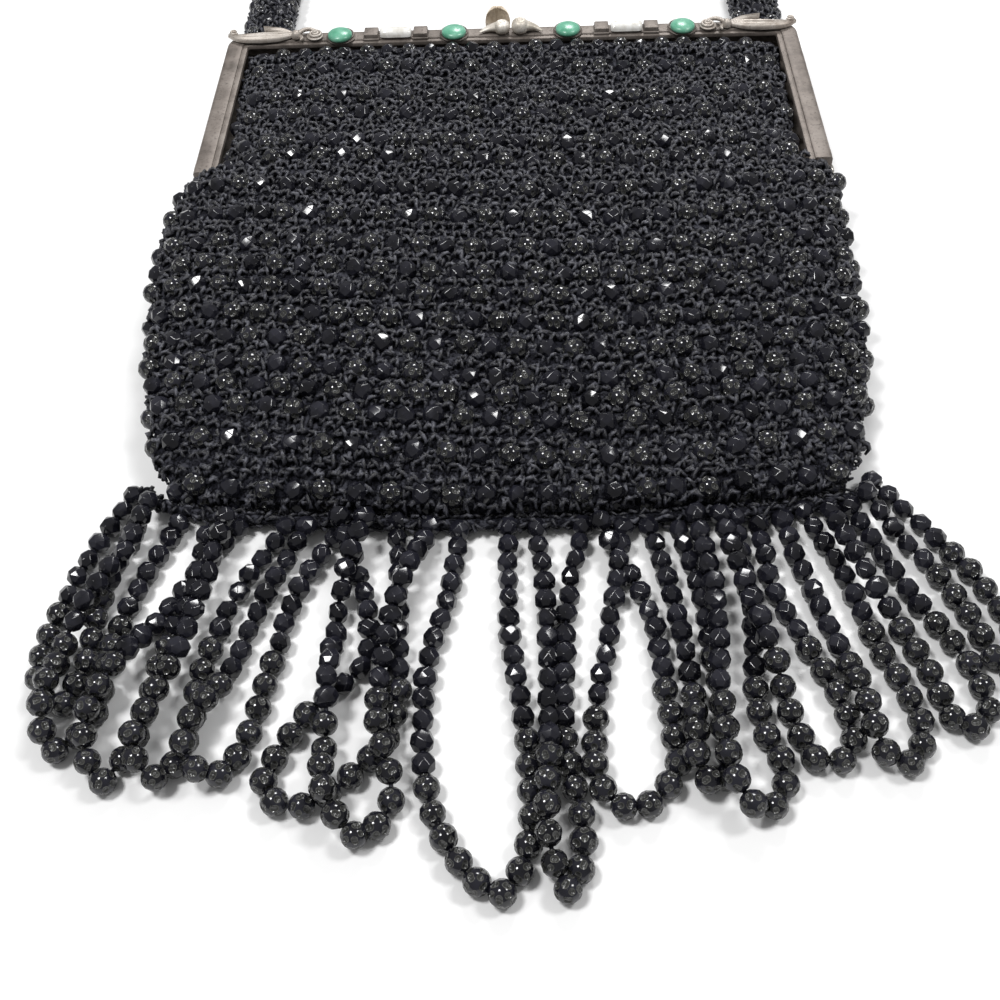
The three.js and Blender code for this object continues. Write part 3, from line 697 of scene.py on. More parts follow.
# Section of a frame half, from the flange's foot over the crowned face to the lip: distance inwards
# from the outline and depth below the face
STEP = FACE_WIDTH - LIP_WIDTH
JOINT = FRAME_THICKNESS / 2
CHANNEL = [
    (FLANGE, PLATE), (FLANGE, JOINT - 0.15), (0.15, JOINT - 0.15), (0.0, JOINT - 0.4), (0.0, 0.55),
    (0.12, 0.22), (0.4, 0.06), (0.9, 0.01), (1.6, 0.0), (2.4, 0.03), (STEP - 0.3, 0.09),
    (STEP - 0.08, 0.22), (STEP, 0.5), (STEP + 0.12, 0.52), (STEP + 0.24, 0.4), (FACE_WIDTH - 0.3, 0.4),
    (FACE_WIDTH - 0.08, 0.5), (FACE_WIDTH, 0.75), (FACE_WIDTH, 1.3), (FACE_WIDTH - 0.2, 1.4),
    (STEP - 0.4, 1.4), (STEP - 0.4, PLATE),
]


def on_hinge(profile, x):
    """Turned solid about the hinge line."""
    return moved(turned(lathe(profile, 32), rotation("Y", 90)), (x, EAR_Y, JOINT))


def ear(x, low_z, high_z):
    """Disc across the hinge pin with a web up to the arm."""
    half = EAR_THICKNESS / 2
    edge = [(0, -half), (PIN_RADIUS + 0.2, -half), (EAR_RADIUS - 0.25, -half), (EAR_RADIUS, -half + 0.25),
            (EAR_RADIUS, half - 0.25), (EAR_RADIUS - 0.25, half), (PIN_RADIUS + 0.2, half), (0, half)]
    disc = on_hinge(edge, x)
    corners = [(x - half, high_z), (x + half, high_z), (x + half, low_z), (x - half, low_z)]
    web = loft([[(u, y, v) for u, v in corners] for y in (EAR_Y, ARM_END + EAR_RADIUS)])
    return [disc, web]


def collet(x):
    """Low cup with a thin rim that holds a stone."""
    outer = 3.3
    seat = 2.98
    profile = [(0, 0.0), (outer + 0.3, 0.0), (outer + 0.1, 0.14), (outer - 0.02, 0.24), (outer, 0.5),
               (outer - 0.05, 0.62), (outer - 0.18, 0.66), (seat + 0.02, 0.6), (seat, 0.45), (seat, 0.2),
               (0, 0.2)]
    return moved(lathe(profile, 40), (x, BAR_Y, FRAME_THICKNESS - 0.02))


def square_post(x):
    """Square stud with cut corners, softened edges and a shallow pyramid on top."""
    corner = 0.16
    rows = [(3.8, 4.0, -0.3), (3.8, 4.0, 0.12), (3.5, 3.7, 0.26), (3.4, 3.6, 1.0), (3.25, 3.45, 1.2),
            (2.7, 2.9, 1.32), (1.2, 1.3, 1.4)]
    rings = []
    for wide, deep, height in rows:
        u, v = wide / 2, deep / 2
        outline = [(u - corner, -v), (u, corner - v), (u, v - corner), (u - corner, v),
                   (corner - u, v), (-u, v - corner), (-u, corner - v), (corner - u, -v)]
        rings.append([(x + a, BAR_Y + b, FRAME_THICKNESS + height) for a, b in outline])
    return loft(rings)


def node_middle(node):
    low, high = local_box(node)
    return (low + high) / 2


def post_places():
    places = []
    for bar in BARS:
        low, high = local_box(bar)
        places += [low[0] - CLEARANCE - POST_HALF, high[0] + CLEARANCE + POST_HALF]
    return places


def build_frame():
    over = [(inset, FRAME_THICKNESS - depth) for inset, depth in CHANNEL]
    front = [swept_arch(over, FRAME_HALF, FRAME_TOP, ARM_END, CORNER_RADIUS)]
    for side in (-1, 1):
        front += ear(side * OUTER_EAR_X, JOINT - EAR_RADIUS / 2, FRAME_THICKNESS - 0.4)
    front += [collet(node_middle(stone)[0]) for stone in STONES]
    front += [square_post(x) for x in post_places()]
    make_piece("frame_front_plate", joined(front), FRAME_METAL, "frame_front", crease=38)

    under = CHANNEL[::-1]
    flange_foot = EAR_Y + EAR_RADIUS + CLEARANCE
    back = [swept_arch(under, FRAME_HALF, FRAME_TOP, flange_foot, CORNER_RADIUS)]
    arm_plate = [(inset, height) for inset, height in under if height < PLATE + 0.45]
    for side in (-1, 1):
        rings = []
        for y in (ARM_END, flange_foot + 0.01):
            ring = [(side * (FRAME_HALF - inset), y, height) for inset, height in arm_plate]
            rings.append(ring if side < 0 else ring[::-1])
        back.append(loft(rings))
        back += ear(side * INNER_EAR_X, 0.4, JOINT + EAR_RADIUS / 2)
    make_piece("frame_back_plate", joined(back), FRAME_METAL, "frame_back", crease=38)


def build_pins():
    inner = INNER_EAR_X - EAR_THICKNESS / 2 - CLEARANCE
    outer = OUTER_EAR_X + EAR_THICKNESS / 2 + CLEARANCE
    profile = [
        (0, inner - 0.8), (1.5, inner - 0.8), (1.9, inner - 0.6), (PIN_HEAD, inner - 0.35), (PIN_HEAD, inner),
        (PIN_RADIUS, inner), (PIN_RADIUS, outer), (PIN_HEAD, outer), (PIN_HEAD, outer + 0.25),
        (1.75, outer + 0.55), (1.3, outer + 0.74), (0.7, outer + 0.8), (0, outer + 0.8),
    ]
    pin = on_hinge(profile, 0)
    for side, name in ((-1, "left"), (1, "right")):
        shape = pin if side > 0 else mirrored(pin)
        make_piece("rivet_" + name, shape, BRIGHT_METAL, "hinge_pin_" + name, crease=40)


# Trim on the bar

def build_stones():
    girdle = 0.5
    for stone in STONES:
        low, high = local_box(stone)
        radius = (high[0] - low[0]) / 2
        dome = high[2] - low[2] - girdle
        profile = [(0, 0.0), (radius - 0.15, 0.0), (radius, 0.15), (radius, girdle)]
        for angle in np.linspace(0, math.pi / 2, 11)[1:-1]:
            profile.append((radius * math.cos(angle), girdle + dome * math.sin(angle)))
        profile.append((0, girdle + dome))
        centre = node_middle(stone)
        shape = moved(lathe(profile, 40), (centre[0], centre[1], low[2]))
        make_piece(stone.replace("cabochon", "stone"), shape, GREEN_STONE, stone, crease=60)


def build_bars():
    """Rounded bars that taper a little at both ends."""
    taper = [(0.0, 0.72), (0.04, 0.88), (0.1, 0.97), (0.2, 1.0)]
    taper += [(1 - along, size) for along, size in reversed(taper)]
    angles = np.linspace(0, math.pi, 13)
    for bar in BARS:
        low, high = local_box(bar)
        half = (high[1] - low[1]) / 2
        rise = high[2] - low[2]
        rings = []
        for along, size in taper:
            x = np.full(len(angles), low[0] + (high[0] - low[0]) * along)
            y = BAR_Y + half * size * np.cos(angles)
            z = low[2] + rise * size * np.sin(angles) ** 0.8
            rings.append(np.stack([x, y, z], -1))
        make_piece(bar.replace("white", "enamel"), loft(rings), WHITE_ENAMEL, bar, crease=50)


def relief(line, widths, heights, grooves, columns, base):
    """Leaf-like relief along a centre line on the bar, with lengthwise grooves."""
    line = resampled(smooth_path([(x, BAR_Y + y, 0.0) for x, y in line]), 0.45)
    share = np.linspace(0, 1, len(line))
    width = np.interp(share, np.linspace(0, 1, len(widths)), widths)
    height = np.interp(share, np.linspace(0, 1, len(heights)), heights)
    tangents = unit(np.gradient(line, axis=0))
    across = np.stack([-tangents[:, 1], tangents[:, 0], np.zeros(len(line))], -1)
    offsets = np.linspace(-1, 1, columns)
    crown = np.sqrt(np.clip(1 - offsets ** 2, 0, 1))
    furrow = 1 - 0.3 * np.abs(np.sin(offsets * math.pi * grooves / 2)) * crown
    front = line[:, None, :] + across[:, None, :] * (offsets[None, :, None] * width[:, None, None] / 2)
    back = front.copy()
    front[:, :, 2] = base + 0.12 + height[:, None] * (0.25 + 0.75 * crown * furrow)[None, :]
    back[:, :, 2] = base
    return sheet_of(front[:, ::-1], back[:, ::-1])


def coil(x, y, base, outer, inner, turns, wire, start):
    """Wire wound flat into a spiral."""
    steps = int(turns * 26)
    angle = math.radians(start) + np.linspace(0, turns * 2 * math.pi, steps)
    radius = np.linspace(outer, inner, steps)
    rise = base + wire + np.linspace(0, 0.35, steps)
    path = np.stack([x + radius * np.cos(angle), y + radius * np.sin(angle), rise], -1)
    return tube(path, wire, 8)


def bead_boss(x, y, base, radius, rise):
    dome = [(0, 0), (1, 0), (1, 0.3), (0.85, 0.7), (0.5, 0.94), (0, 1)]
    return moved(lathe([(radius * out, rise * up) for out, up in dome], 16), (x, y, base))


# Right-hand scroll: middle of its spiral, knot and curled tip, and its leaves. A leaf has a centre line
# of (x, y from the bar's middle), widths, heights, a number of grooves and a number of columns.
SPIRAL_X = 47.8
KNOT_X = 52.3
TIP_X = 67.6
LEAVES = [
    ([(51.6, -0.4), (50.8, -1.3), (51.2, -2.1)], (0.5, 1.1, 0.3), (0.5, 0.8, 0.3), 2, 7),
    ([(52.3, 0.3), (52.0, 1.5), (51.2, 2.2)], (0.6, 1.1, 0.3), (0.6, 0.8, 0.3), 2, 7),
    ([(52.6, 0.5), (57, -0.6), (62, -1.0), (66.3, -0.7), (68.8, 0.8)],
     (1.3, 3.1, 3.4, 2.7, 1.3), (0.8, 1.35, 1.5, 1.3, 0.8), 4, 19),
    ([(53.5, 0.9), (56, 1.7), (58.5, 1.9), (60.3, 1.7)],
     (1.3, 1.6, 1.1, 0.35), (0.7, 1.3, 1.5, 1.9), 2, 9),
]


def corner_scroll():
    """Right-hand scroll: spiral, stem, knot with leaflets, long grooved leaf and a spur."""
    base = FRAME_THICKNESS + CLEARANCE
    y = BAR_Y
    plate = [(0, 0), (2.0, 0), (2.05, 0.12), (1.95, 0.3), (0, 0.34)]
    stem = smooth_path([(47.9, y + 1.6, base + 0.5), (49.3, y + 1.9, base + 0.75),
                        (50.7, y + 1.3, base + 0.85), (51.8, y + 0.1, base + 0.7)])
    parts = [
        moved(lathe(plate, 32), (SPIRAL_X, y - 0.1, base)),
        coil(SPIRAL_X, y - 0.1, base + 0.2, outer=1.65, inner=0.3, turns=1.9, wire=0.34, start=80),
        bead_boss(SPIRAL_X, y - 0.1, base + 0.4, radius=0.5, rise=1.1),
        tube(resampled(stem, 0.4), 0.5, 8),
        bead_boss(KNOT_X, y - 0.3, base, radius=1.15, rise=1.7),
        coil(TIP_X, y + 0.7, base + 0.7, outer=0.85, inner=0.25, turns=1.3, wire=0.32, start=200),
    ]
    parts += [relief(*leaf, base) for leaf in LEAVES]
    return joined(parts)


def build_scrolls():
    scroll = corner_scroll()
    for name, shape in (("left", mirrored(scroll)), ("right", scroll)):
        make_piece("leaf_scroll_" + name, shape, SCROLL_METAL, "scroll_" + name, crease=60)


# Clasp: radius and height of each knob's bulb, and the reach of its tail
KNOBS = {"left": (2.0, 2.5), "right": (2.1, 2.95)}
KNOB_REACH = 7.6

# Petal: height as a share, width as a share, and how far it leans away from the bar
PETAL_ROWS = [
    (0.04, 0.48, 0.0), (0.15, 0.48, 0.0), (0.3, 0.5, 0.0), (0.42, 0.62, 0.1), (0.55, 0.85, 0.35),
    (0.68, 0.97, 0.6), (0.78, 0.98, 0.75), (0.87, 0.9, 0.8), (0.93, 0.76, 0.75), (0.975, 0.55, 0.65),
    (1.0, 0.32, 0.55),
]
PETAL_FLARE = 0.3
PETAL_SET = 0.2
PETAL_DEPTH = 1.0
PETAL_FLUTES = 5
FLUTE_DEPTH = 0.12
SCALLOP_DEPTH = 0.175


def clasp_knob(bulb, height):
    """Right-hand comma-shaped knob: a bulb with an eye-like pit, drawn out into a tail."""
    seat = FRAME_THICKNESS + CLEARANCE
    dome = [(0, 0.0), (0.8, 0.0), (0.95, 0.16), (1.0, 0.36), (0.97, 0.58), (0.86, 0.78), (0.68, 0.92),
            (0.48, 0.99), (0.36, 0.99), (0.28, 0.92), (0.2, 0.9), (0.12, 0.95), (0, 0.98)]
    profile = [(bulb * radius, height * rise) for radius, rise in dome]
    round_end = moved(lathe(profile, 32), (bulb + 0.15, BAR_Y, seat))
    flat = height * 0.5 / bulb
    line = resampled(smooth_path([
        (bulb, BAR_Y, 0), (bulb * 1.9, BAR_Y + 0.3, 0), (bulb * 2.8, BAR_Y + 0.2, 0),
        (KNOB_REACH, BAR_Y - 0.7, 0)]), 0.35)
    share = np.linspace(0, 1, len(line))
    radii = bulb * np.interp(share, [0, 0.2, 0.5, 0.8, 1.0], [0.95, 0.86, 0.6, 0.33, 0.14])
    line[:, 2] = seat + radii * flat
    return joined([round_end, tube(line, radii, 16, flat)])


def build_knobs():
    for side, sizes in KNOBS.items():
        knob = clasp_knob(*sizes)
        shape = knob if side == "right" else mirrored(knob)
        make_piece("kiss_knob_" + side, shape, PALE_METAL, "clasp_knob_" + side, crease=60)


def build_petal():
    """Fluted shell that stands up behind the bar."""
    low, high = local_box("clasp_petal")
    middle = (low[0] + high[0]) / 2
    widest = (high[0] - low[0]) / 2
    table = np.array(PETAL_ROWS)
    dense = np.linspace(0, len(table) - 1, 41)
    ups, wides, leans = (np.interp(dense, np.arange(len(table)), table[:, k]) for k in range(3))
    share = np.linspace(-1, 1, 29)
    front = []
    back = []
    for up, wide, lean in zip(ups, wides, leans):
        flare = np.clip((up - PETAL_FLARE) / PETAL_FLARE, 0, 1)
        flutes = FLUTE_DEPTH * flare * np.abs(np.sin(share * math.pi * PETAL_FLUTES / 2))
        scallops = SCALLOP_DEPTH * flare * (1 - np.cos(share * math.pi * PETAL_FLUTES))
        x = middle + share * widest * wide
        hollow = (1.3 - 0.7 * flare) * wide * (1 - share ** 2)
        y = FRAME_TOP + CLEARANCE + lean + hollow - flutes
        z = high[2] * up - scallops
        front.append(np.stack([x, y + PETAL_SET, z], -1))
        back.append(np.stack([x, y + PETAL_DEPTH, z], -1))
    make_piece("thumb_petal", sheet_of(front, back), BROWN_METAL, "clasp_petal", crease=60)


# Pouch surface

def section_table():
    rows = [(up * BELLY_LENGTH, left * BELLY_HALF, right * BELLY_HALF, thick * POUCH_THICKNESS)
            for up, left, right, thick in BELLY]
    rows += [(BELLY_LENGTH + up * ARM_LENGTH, THROAT_HALF, THROAT_HALF, thick * POUCH_THICKNESS)
             for up, thick in THROAT]
    rows.append((POUCH_LENGTH, THROAT_HALF, THROAT_HALF, FRAME_THICKNESS - 2 * CLEARANCE))
    return np.array(rows)


SECTIONS = section_table()


def smoothstep(value, low, high):
    share = np.clip((value - low) / (high - low), 0, 1)
    return share * share * (3 - 2 * share)


def across_share(angle):
    """Place across the pouch, from -1 to 1, at an angle around it."""
    c = np.cos(angle)
    return np.sign(c) * np.abs(c) ** OUTLINE_POWER


def pouch_point(angle, y, depth, side_share=1.0):
    """Point of the pouch at an angle around it, drawn in by some depth from the outline.

    side_share: how much of the depth counts at the sides where the frame holds the pouch.
    """
    angle, y, depth = np.broadcast_arrays(angle, y, depth)
    left, right, thick = (np.interp(y, SECTIONS[:, 0], SECTIONS[:, k]) for k in (1, 2, 3))
    s = np.sin(angle)
    across = across_share(angle)
    square = smoothstep(y, BELLY_LENGTH, POUCH_LENGTH - 0.5 * FACE_WIDTH)
    belly_power = np.where(s > 0, FRONT_POWER, BACK_POWER)
    power = belly_power + (THROAT_POWER - belly_power) * square
    up = np.sign(s) * np.abs(s) ** power
    lift = CORNER_LIFT * (1 - smoothstep(y, 0.45 * POUCH_LENGTH, POUCH_LENGTH))
    side_depth = depth * (1 + (side_share - 1) * square)
    x = (right - left) / 2 + ((right + left) / 2 - side_depth) * across
    z = thick / 2 + (thick / 2 - depth) * up
    return np.stack([x, y + lift * across ** 2, z], -1)


def row_point(angle, y, depth, side_share=1.0):
    """Point of a row that has the height y at the sides and sags between them, as in the part."""
    across = across_share(angle)
    fade = smoothstep(y, 0, SAG_FADE) * (1 - smoothstep(y, POUCH_LENGTH - SAG_FADE, POUCH_LENGTH))
    sag = ROW_SAG * fade * (1 - across ** 2) * (1 + across)
    return pouch_point(angle, y - sag, depth, side_share)


def ring_angles(y, depth, spacing, shift):
    """Angles around the pouch that lie an equal distance apart."""
    fine = np.linspace(0, 2 * math.pi, 1441)
    lengths = path_lengths(row_point(fine, y, depth))
    count = round(lengths[-1] / spacing)
    wanted = (np.arange(count) + shift) * lengths[-1] / count
    return np.interp(wanted % lengths[-1], lengths, fine)


def pouch_frames(angles, y, depth):
    """Along the row, up the pouch and outwards, as columns, at each angle."""
    turn = 0.02
    rise = 1.5
    deeper = 2.0
    along = unit(row_point(angles + turn, y, depth) - row_point(angles - turn, y, depth))
    upward = row_point(angles, y + rise, depth) - row_point(angles, y - rise, depth)
    outward = unit(np.cross(along, upward))
    out_of_cloth = row_point(angles, y, 0.0) - row_point(angles, y, deeper)
    outward *= np.sign(np.sum(outward * out_of_cloth, -1))[:, None]
    upward = unit(np.cross(outward, along))
    return np.stack([along, upward, outward], -1)


def cloth_depth(y):
    return np.interp(y, CLOTH_HEIGHTS, CLOTH_DEPTHS)


# Templates for beads and stitches

def mesh_arrays(mesh):
    """Points and triangles of a triangulated mesh, which is then freed."""
    mesh.verts.index_update()
    points = np.array([vertex.co[:] for vertex in mesh.verts])
    triangles = np.array([[vertex.index for vertex in face.verts] for face in mesh.faces])
    mesh.free()
    return points, triangles


def hull(corners):
    """Mesh of the convex hull, whose points keep the order of the corners."""
    mesh = bmesh.new()
    for corner in corners:
        mesh.verts.new(corner)
    bmesh.ops.convex_hull(mesh, input=mesh.verts)
    return mesh


def round_bead(size):
    """Round moulded bead with a dimple at 32 places, as a mesh and its points on a unit ball."""
    ball = bmesh.new()
    bmesh.ops.create_icosphere(ball, subdivisions=1, radius=1.0)
    corners = [vertex.co.copy() for vertex in ball.verts]
    corners += [face.calc_center_median().normalized() for face in ball.faces]
    ball.free()
    points, triangles = halved(*mesh_arrays(hull(corners)))
    points = unit(points)
    depth = np.ones(len(points))
    depth[:len(corners)] = DIMPLE
    return points * depth[:, None] * size / 2, triangles, points


def plain_ball(size):
    """Round bead for the back and the strap, where the dimples are only shaded."""
    ball = bmesh.new()
    bmesh.ops.create_icosphere(ball, subdivisions=2, radius=1.0)
    points, triangles = mesh_arrays(ball)
    return points * PLAIN_SHRINK * size / 2, triangles, points


def halved(points, triangles):
    """Each triangle split into four at the middles of its sides."""
    edges = np.concatenate([triangles[:, pair] for pair in ([0, 1], [1, 2], [2, 0])])
    kept, places = np.unique(np.sort(edges, axis=1), axis=0, return_inverse=True)
    ab, bc, ca = places.reshape(3, -1) + len(points)
    a, b, c = triangles.T
    split = np.stack([(a, ab, ca), (ab, b, bc), (ca, bc, c), (ab, bc, ca)])
    middles = points[kept].mean(axis=1)
    return np.concatenate([points, middles]), split.transpose(0, 2, 1).reshape(-1, 3)


def hexagon(radius, height, turn):
    angles = np.radians(60.0 * np.arange(6) + turn)
    return np.stack([radius * np.cos(angles), radius * np.sin(angles), np.full(6, height)], -1)


# Hexagons that a cut bead spans: radius, height and turn in degrees
FACET_RINGS = [(1.0, 0.0, 0), (0.866, 0.55, 30), (0.866, -0.55, 30), (0.42, 0.88, 30), (0.42, -0.88, 30)]


def cut_bead(size, chamfer, seed):
    """Fire-polished bead as points, triangles and normals. Without a chamfer its edges are sharp."""
    corners = np.concatenate([hexagon(*ring) for ring in FACET_RINGS])
    skew = np.eye(3) + np.random.default_rng(seed).normal(scale=FACET_SKEW, size=(3, 3))
    mesh = hull(corners @ skew.T * size / 2)
    bmesh.ops.dissolve_limit(mesh, angle_limit=math.radians(1), verts=mesh.verts, edges=mesh.edges)
    if chamfer:
        rounded = bmesh.ops.bevel(
            mesh, geom=list(mesh.edges) + list(mesh.verts), offset=chamfer, offset_type="OFFSET",
            segments=1, affect="EDGES", clamp_overlap=True)
        edges = set(rounded["faces"])
    else:
        bmesh.ops.split_edges(mesh, edges=mesh.edges)
        edges = set()
    facets = [face for face in mesh.faces if face not in edges]
    mesh.verts.index_update()
    normals = np.zeros((len(mesh.verts), 3))
    for face in facets:
        for vertex in face.verts:
            normals[vertex.index] = face.normal
    bmesh.ops.triangulate(mesh, faces=mesh.faces)
    points, triangles = mesh_arrays(mesh)
    return points, triangles, unit(normals + FACET_ROUNDING * unit(points))


def strand(points, spacing):
    """Short piece of yarn that thins at its ends."""
    line = resampled(smooth_path(points), spacing)
    share = np.linspace(0, 1, len(line))
    return tube(line, YARN_RADIUS * (YARN_TIP + (1 - YARN_TIP) * np.sin(math.pi * share)), 4)


# Yarn of one stitch, across, up and out of the cloth: two legs of a V and a thread around them
LEGS = [
    [(-0.95, 1.2, -0.35), (-0.75, 0.45, 0.35), (-0.35, -0.35, 0.45), (-0.05, -1.1, -0.2)],
    [(0.95, 1.15, -0.35), (0.7, 0.4, 0.4), (0.4, -0.3, 0.35), (0.1, -1.05, -0.2)],
]
WRAP = [(-1.1, -0.35, -0.2), (-0.35, 0.1, 0.5), (0.4, 0.2, 0.55), (1.1, 0.45, -0.2)]


def stitch(seed, lines, spacing):
    """One stitch of its own irregular shape, sampled at a spacing along its yarn."""
    own = np.random.default_rng(seed)
    bent = [np.array(line) + own.normal(scale=STITCH_SPREAD, size=(4, 3)) for line in lines]
    return joined([strand(line, spacing) for line in bent])


ROUND_TEMPLATE = round_bead(ROUND_BEAD)
PLAIN_ROUND_TEMPLATE = plain_ball(ROUND_BEAD)
CUT_TEMPLATES = [cut_bead(CUT_BEAD, FACET_EDGE, seed) for seed in (3, 5, 8, 11)]
PLAIN_TEMPLATES = [cut_bead(CUT_BEAD, 0.0, seed) for seed in (3, 5)]
STITCHES = [stitch(seed, LEGS + [WRAP], 1.05) for seed in range(20, 28)]
PLAIN_STITCHES = [stitch(seed, LEGS, 1.4) for seed in range(40, 44)]


def random_turns(count):
    """Random rotations, from quaternions."""
    w, x, y, z = unit(rng.normal(size=(count, 4))).T
    rows = [[1 - 2 * (y * y + z * z), 2 * (x * y - z * w), 2 * (x * z + y * w)],
            [2 * (x * y + z * w), 1 - 2 * (x * x + z * z), 2 * (y * z - x * w)],
            [2 * (x * z - y * w), 2 * (y * z + x * w), 1 - 2 * (x * x + y * y)]]
    return np.moveaxis(np.array(rows), -1, 0)


def turns_about(angle):
    """Rotations by the angles about the third axis of a frame."""
    c, s = np.cos(angle), np.sin(angle)
    one, nil = np.ones(len(angle)), np.zeros(len(angle))
    return np.moveaxis(np.array([[c, -s, nil], [s, c, nil], [nil, nil, one]]), -1, 0)


def frames_along(directions):
    """Frames whose third axis follows the given directions."""
    directions = unit(directions)
    helper = np.where(np.abs(directions[:, 2:3]) > 0.9, [[0.0, 1.0, 0.0]], [[0.0, 0.0, 1.0]])
    first = unit(np.cross(helper, directions))
    second = np.cross(directions, first)
    return np.stack([first, second, directions], -1)


def round_beads(name, centres, frames, template):
    """Piece of round beads that know the points of their own ball."""
    points, triangles, ball = template
    shape = stamped((points, triangles), centres, frames)
    make_piece(name, shape, ROUND_GLASS, ball=np.tile(ball, (len(centres), 1)))


def cut_beads(name, centres, frames, templates):
    """Piece of faceted beads with the normals of their facets."""
    kinds = rng.integers(0, len(templates), len(centres))
    shapes = []
    normals = []
    for kind, (points, triangles, facets) in enumerate(templates):
        chosen = frames[kinds == kind]
        shapes.append(stamped((points, triangles), centres[kinds == kind], chosen))
        normals.append(unit(np.einsum("nij,kj->nki", chosen, facets)).reshape(-1, 3))
    make_piece(name, joined(shapes), CUT_GLASS, normals=np.concatenate(normals))


def add_beads(prefix, centres, directions, round_kind, plain=False):
    """Round beads and cut beads at the centres; directions run along the thread."""
    ball = PLAIN_ROUND_TEMPLATE if plain else ROUND_TEMPLATE
    gem_kinds = PLAIN_TEMPLATES if plain else CUT_TEMPLATES
    size = rng.uniform(*BEAD_SIZES, len(centres))[:, None, None]
    balls = random_turns(len(centres)) * size
    gems = frames_along(directions + rng.normal(scale=THREAD_JITTER, size=centres.shape))
    gems = gems @ turns_about(rng.uniform(0, 2 * math.pi, len(centres))) * size
    round_beads(prefix + "_round_beads", centres[round_kind], balls[round_kind], ball)
    cut_beads(prefix + "_cut_beads", centres[~round_kind], gems[~round_kind], gem_kinds)


def gathered(rows):
    """One array for each column of the rows."""
    return [np.concatenate(column) for column in zip(*rows)]


# Pouch

def bead_row(share, row):
    """One row of beads: centres, thread directions, which are round and which face up."""
    y = share * POUCH_LENGTH
    pitch = WIDE_PITCH if row < WIDE_ROWS else BEAD_PITCH
    angles = ring_angles(y, BEAD_DEPTH, pitch, rng.uniform())
    wave = ROW_WAVE * np.sin(3 * angles + row * 1.7) + rng.normal(scale=BEAD_JITTER, size=len(angles))
    depth = BEAD_DEPTH + np.abs(rng.normal(scale=DEPTH_JITTER, size=len(angles)))
    at_mouth = row == len(BEAD_ROWS) - 1
    depth = depth - at_mouth * TOP_ROW_RISE
    centres = row_point(angles, y + wave, depth, 1 + at_mouth * TOP_ROW_WIDENING)
    centres[:, 0] += rng.normal(scale=BEAD_JITTER, size=len(angles))
    frames = pouch_frames(angles, y, BEAD_DEPTH)
    kinds = (np.arange(len(angles)) + row) % 2 == 0
    strays = rng.uniform(size=len(angles)) < STRAY_SHARE
    return centres, frames[:, :, 0], kinds ^ strays, frames[:, 2, 2] > FRONT_BEADS


def build_pouch_beads():
    """Detailed beads on the front and plain ones on the back."""
    rows = [bead_row(share, row) for row, share in enumerate(BEAD_ROWS)]
    centres, directions, kinds, front = gathered(rows)
    add_beads("pouch", centres[front], directions[front], kinds[front])
    back = ~front
    add_beads("back", centres[back], directions[back], kinds[back], plain=True)


def scattered(templates, centres, frames):
    """Stitches at the centres, each of a random kind, turned and sized a little differently."""
    count = len(centres)
    angle = rng.normal(scale=STITCH_TURN, size=count)
    frames = frames @ turns_about(angle) * rng.uniform(*STITCH_SIZES, count)[:, None, None]
    kinds = rng.integers(0, len(templates), count)
    return joined([stamped(template, centres[kinds == kind], frames[kinds == kind])
                   for kind, template in enumerate(templates)])


def build_pouch_stitches():
    """Courses of stitches from the bottom to the mouth, offset by half a stitch in turn."""
    rows = np.array(BEAD_ROWS) * POUCH_LENGTH
    centres = []
    frames = []
    for course, y in enumerate(np.arange(FIRST_COURSE, LAST_COURSE, COURSE)):
        under_beads = UNDER_BEAD_DEPTH if np.min(np.abs(rows - y)) < ROW_REACH else 0.0
        depth = float(cloth_depth(y)) + under_beads
        angles = ring_angles(y, depth, STITCH_PITCH, 0.5 * (course % 2))
        heights = y + rng.normal(scale=COURSE_JITTER, size=len(angles))
        middles = row_point(angles, heights, depth, 0.25)
        centres.append(middles + rng.normal(scale=STITCH_JITTER, size=middles.shape))
        frames.append(pouch_frames(angles, y, depth))
    centres = np.concatenate(centres)
    centres[:, 2] = np.maximum(centres[:, 2], STITCH_CLEARANCE)
    frames = np.concatenate(frames)
    front = frames[:, 2, 2] > FRONT_STITCHES
    upper = centres[:, 1] > STITCH_SPLIT
    for name, chosen, kinds in (("upper", front & upper, STITCHES), ("lower", front & ~upper, STITCHES),
                                ("back", ~front, PLAIN_STITCHES)):
        make_piece("pouch_stitches_" + name, scattered(kinds, centres[chosen], frames[chosen]), YARN)


def build_pouch_cloth():
    """Hollow shell that carries the stitches, open at the frame."""
    angles = -np.linspace(0, 2 * math.pi, 96, endpoint=False)
    outer_rows = np.linspace(CLOTH_BOTTOM, CLOTH_TOP, 60)
    inner_rows = np.linspace(CLOTH_TOP, CLOTH_FLOOR, 30)
    outer = [pouch_point(angles, y, cloth_depth(y) + CLOTH_INSET, 0.4) for y in outer_rows]
    inner = [pouch_point(angles, y, cloth_depth(y) + WALL, 0.6) for y in inner_rows]
    make_piece("pouch_cloth", loft(outer + inner), CLOTH, "pouch", crease=70)


# Yarn and beads on round cords

def cord_surface(path, half_wide, half_high, stations, turns):
    """Centres and frames on an elliptical cord: around it, along it and outwards."""
    centres = at_lengths(path, stations)
    ahead = unit(at_lengths(path, stations + CORD_END) - at_lengths(path, stations - CORD_END))
    side = unit(np.cross(ahead, [0.0, 0.0, 1.0]))
    up = np.cross(side, ahead)
    c = np.cos(turns)[:, None]
    s = np.sin(turns)[:, None]
    places = centres + side * c * half_wide + up * s * half_high
    outward = unit(side * c * half_high + up * s * half_wide)
    around = np.cross(ahead, outward)
    return places, np.stack([around, ahead, outward], -1)


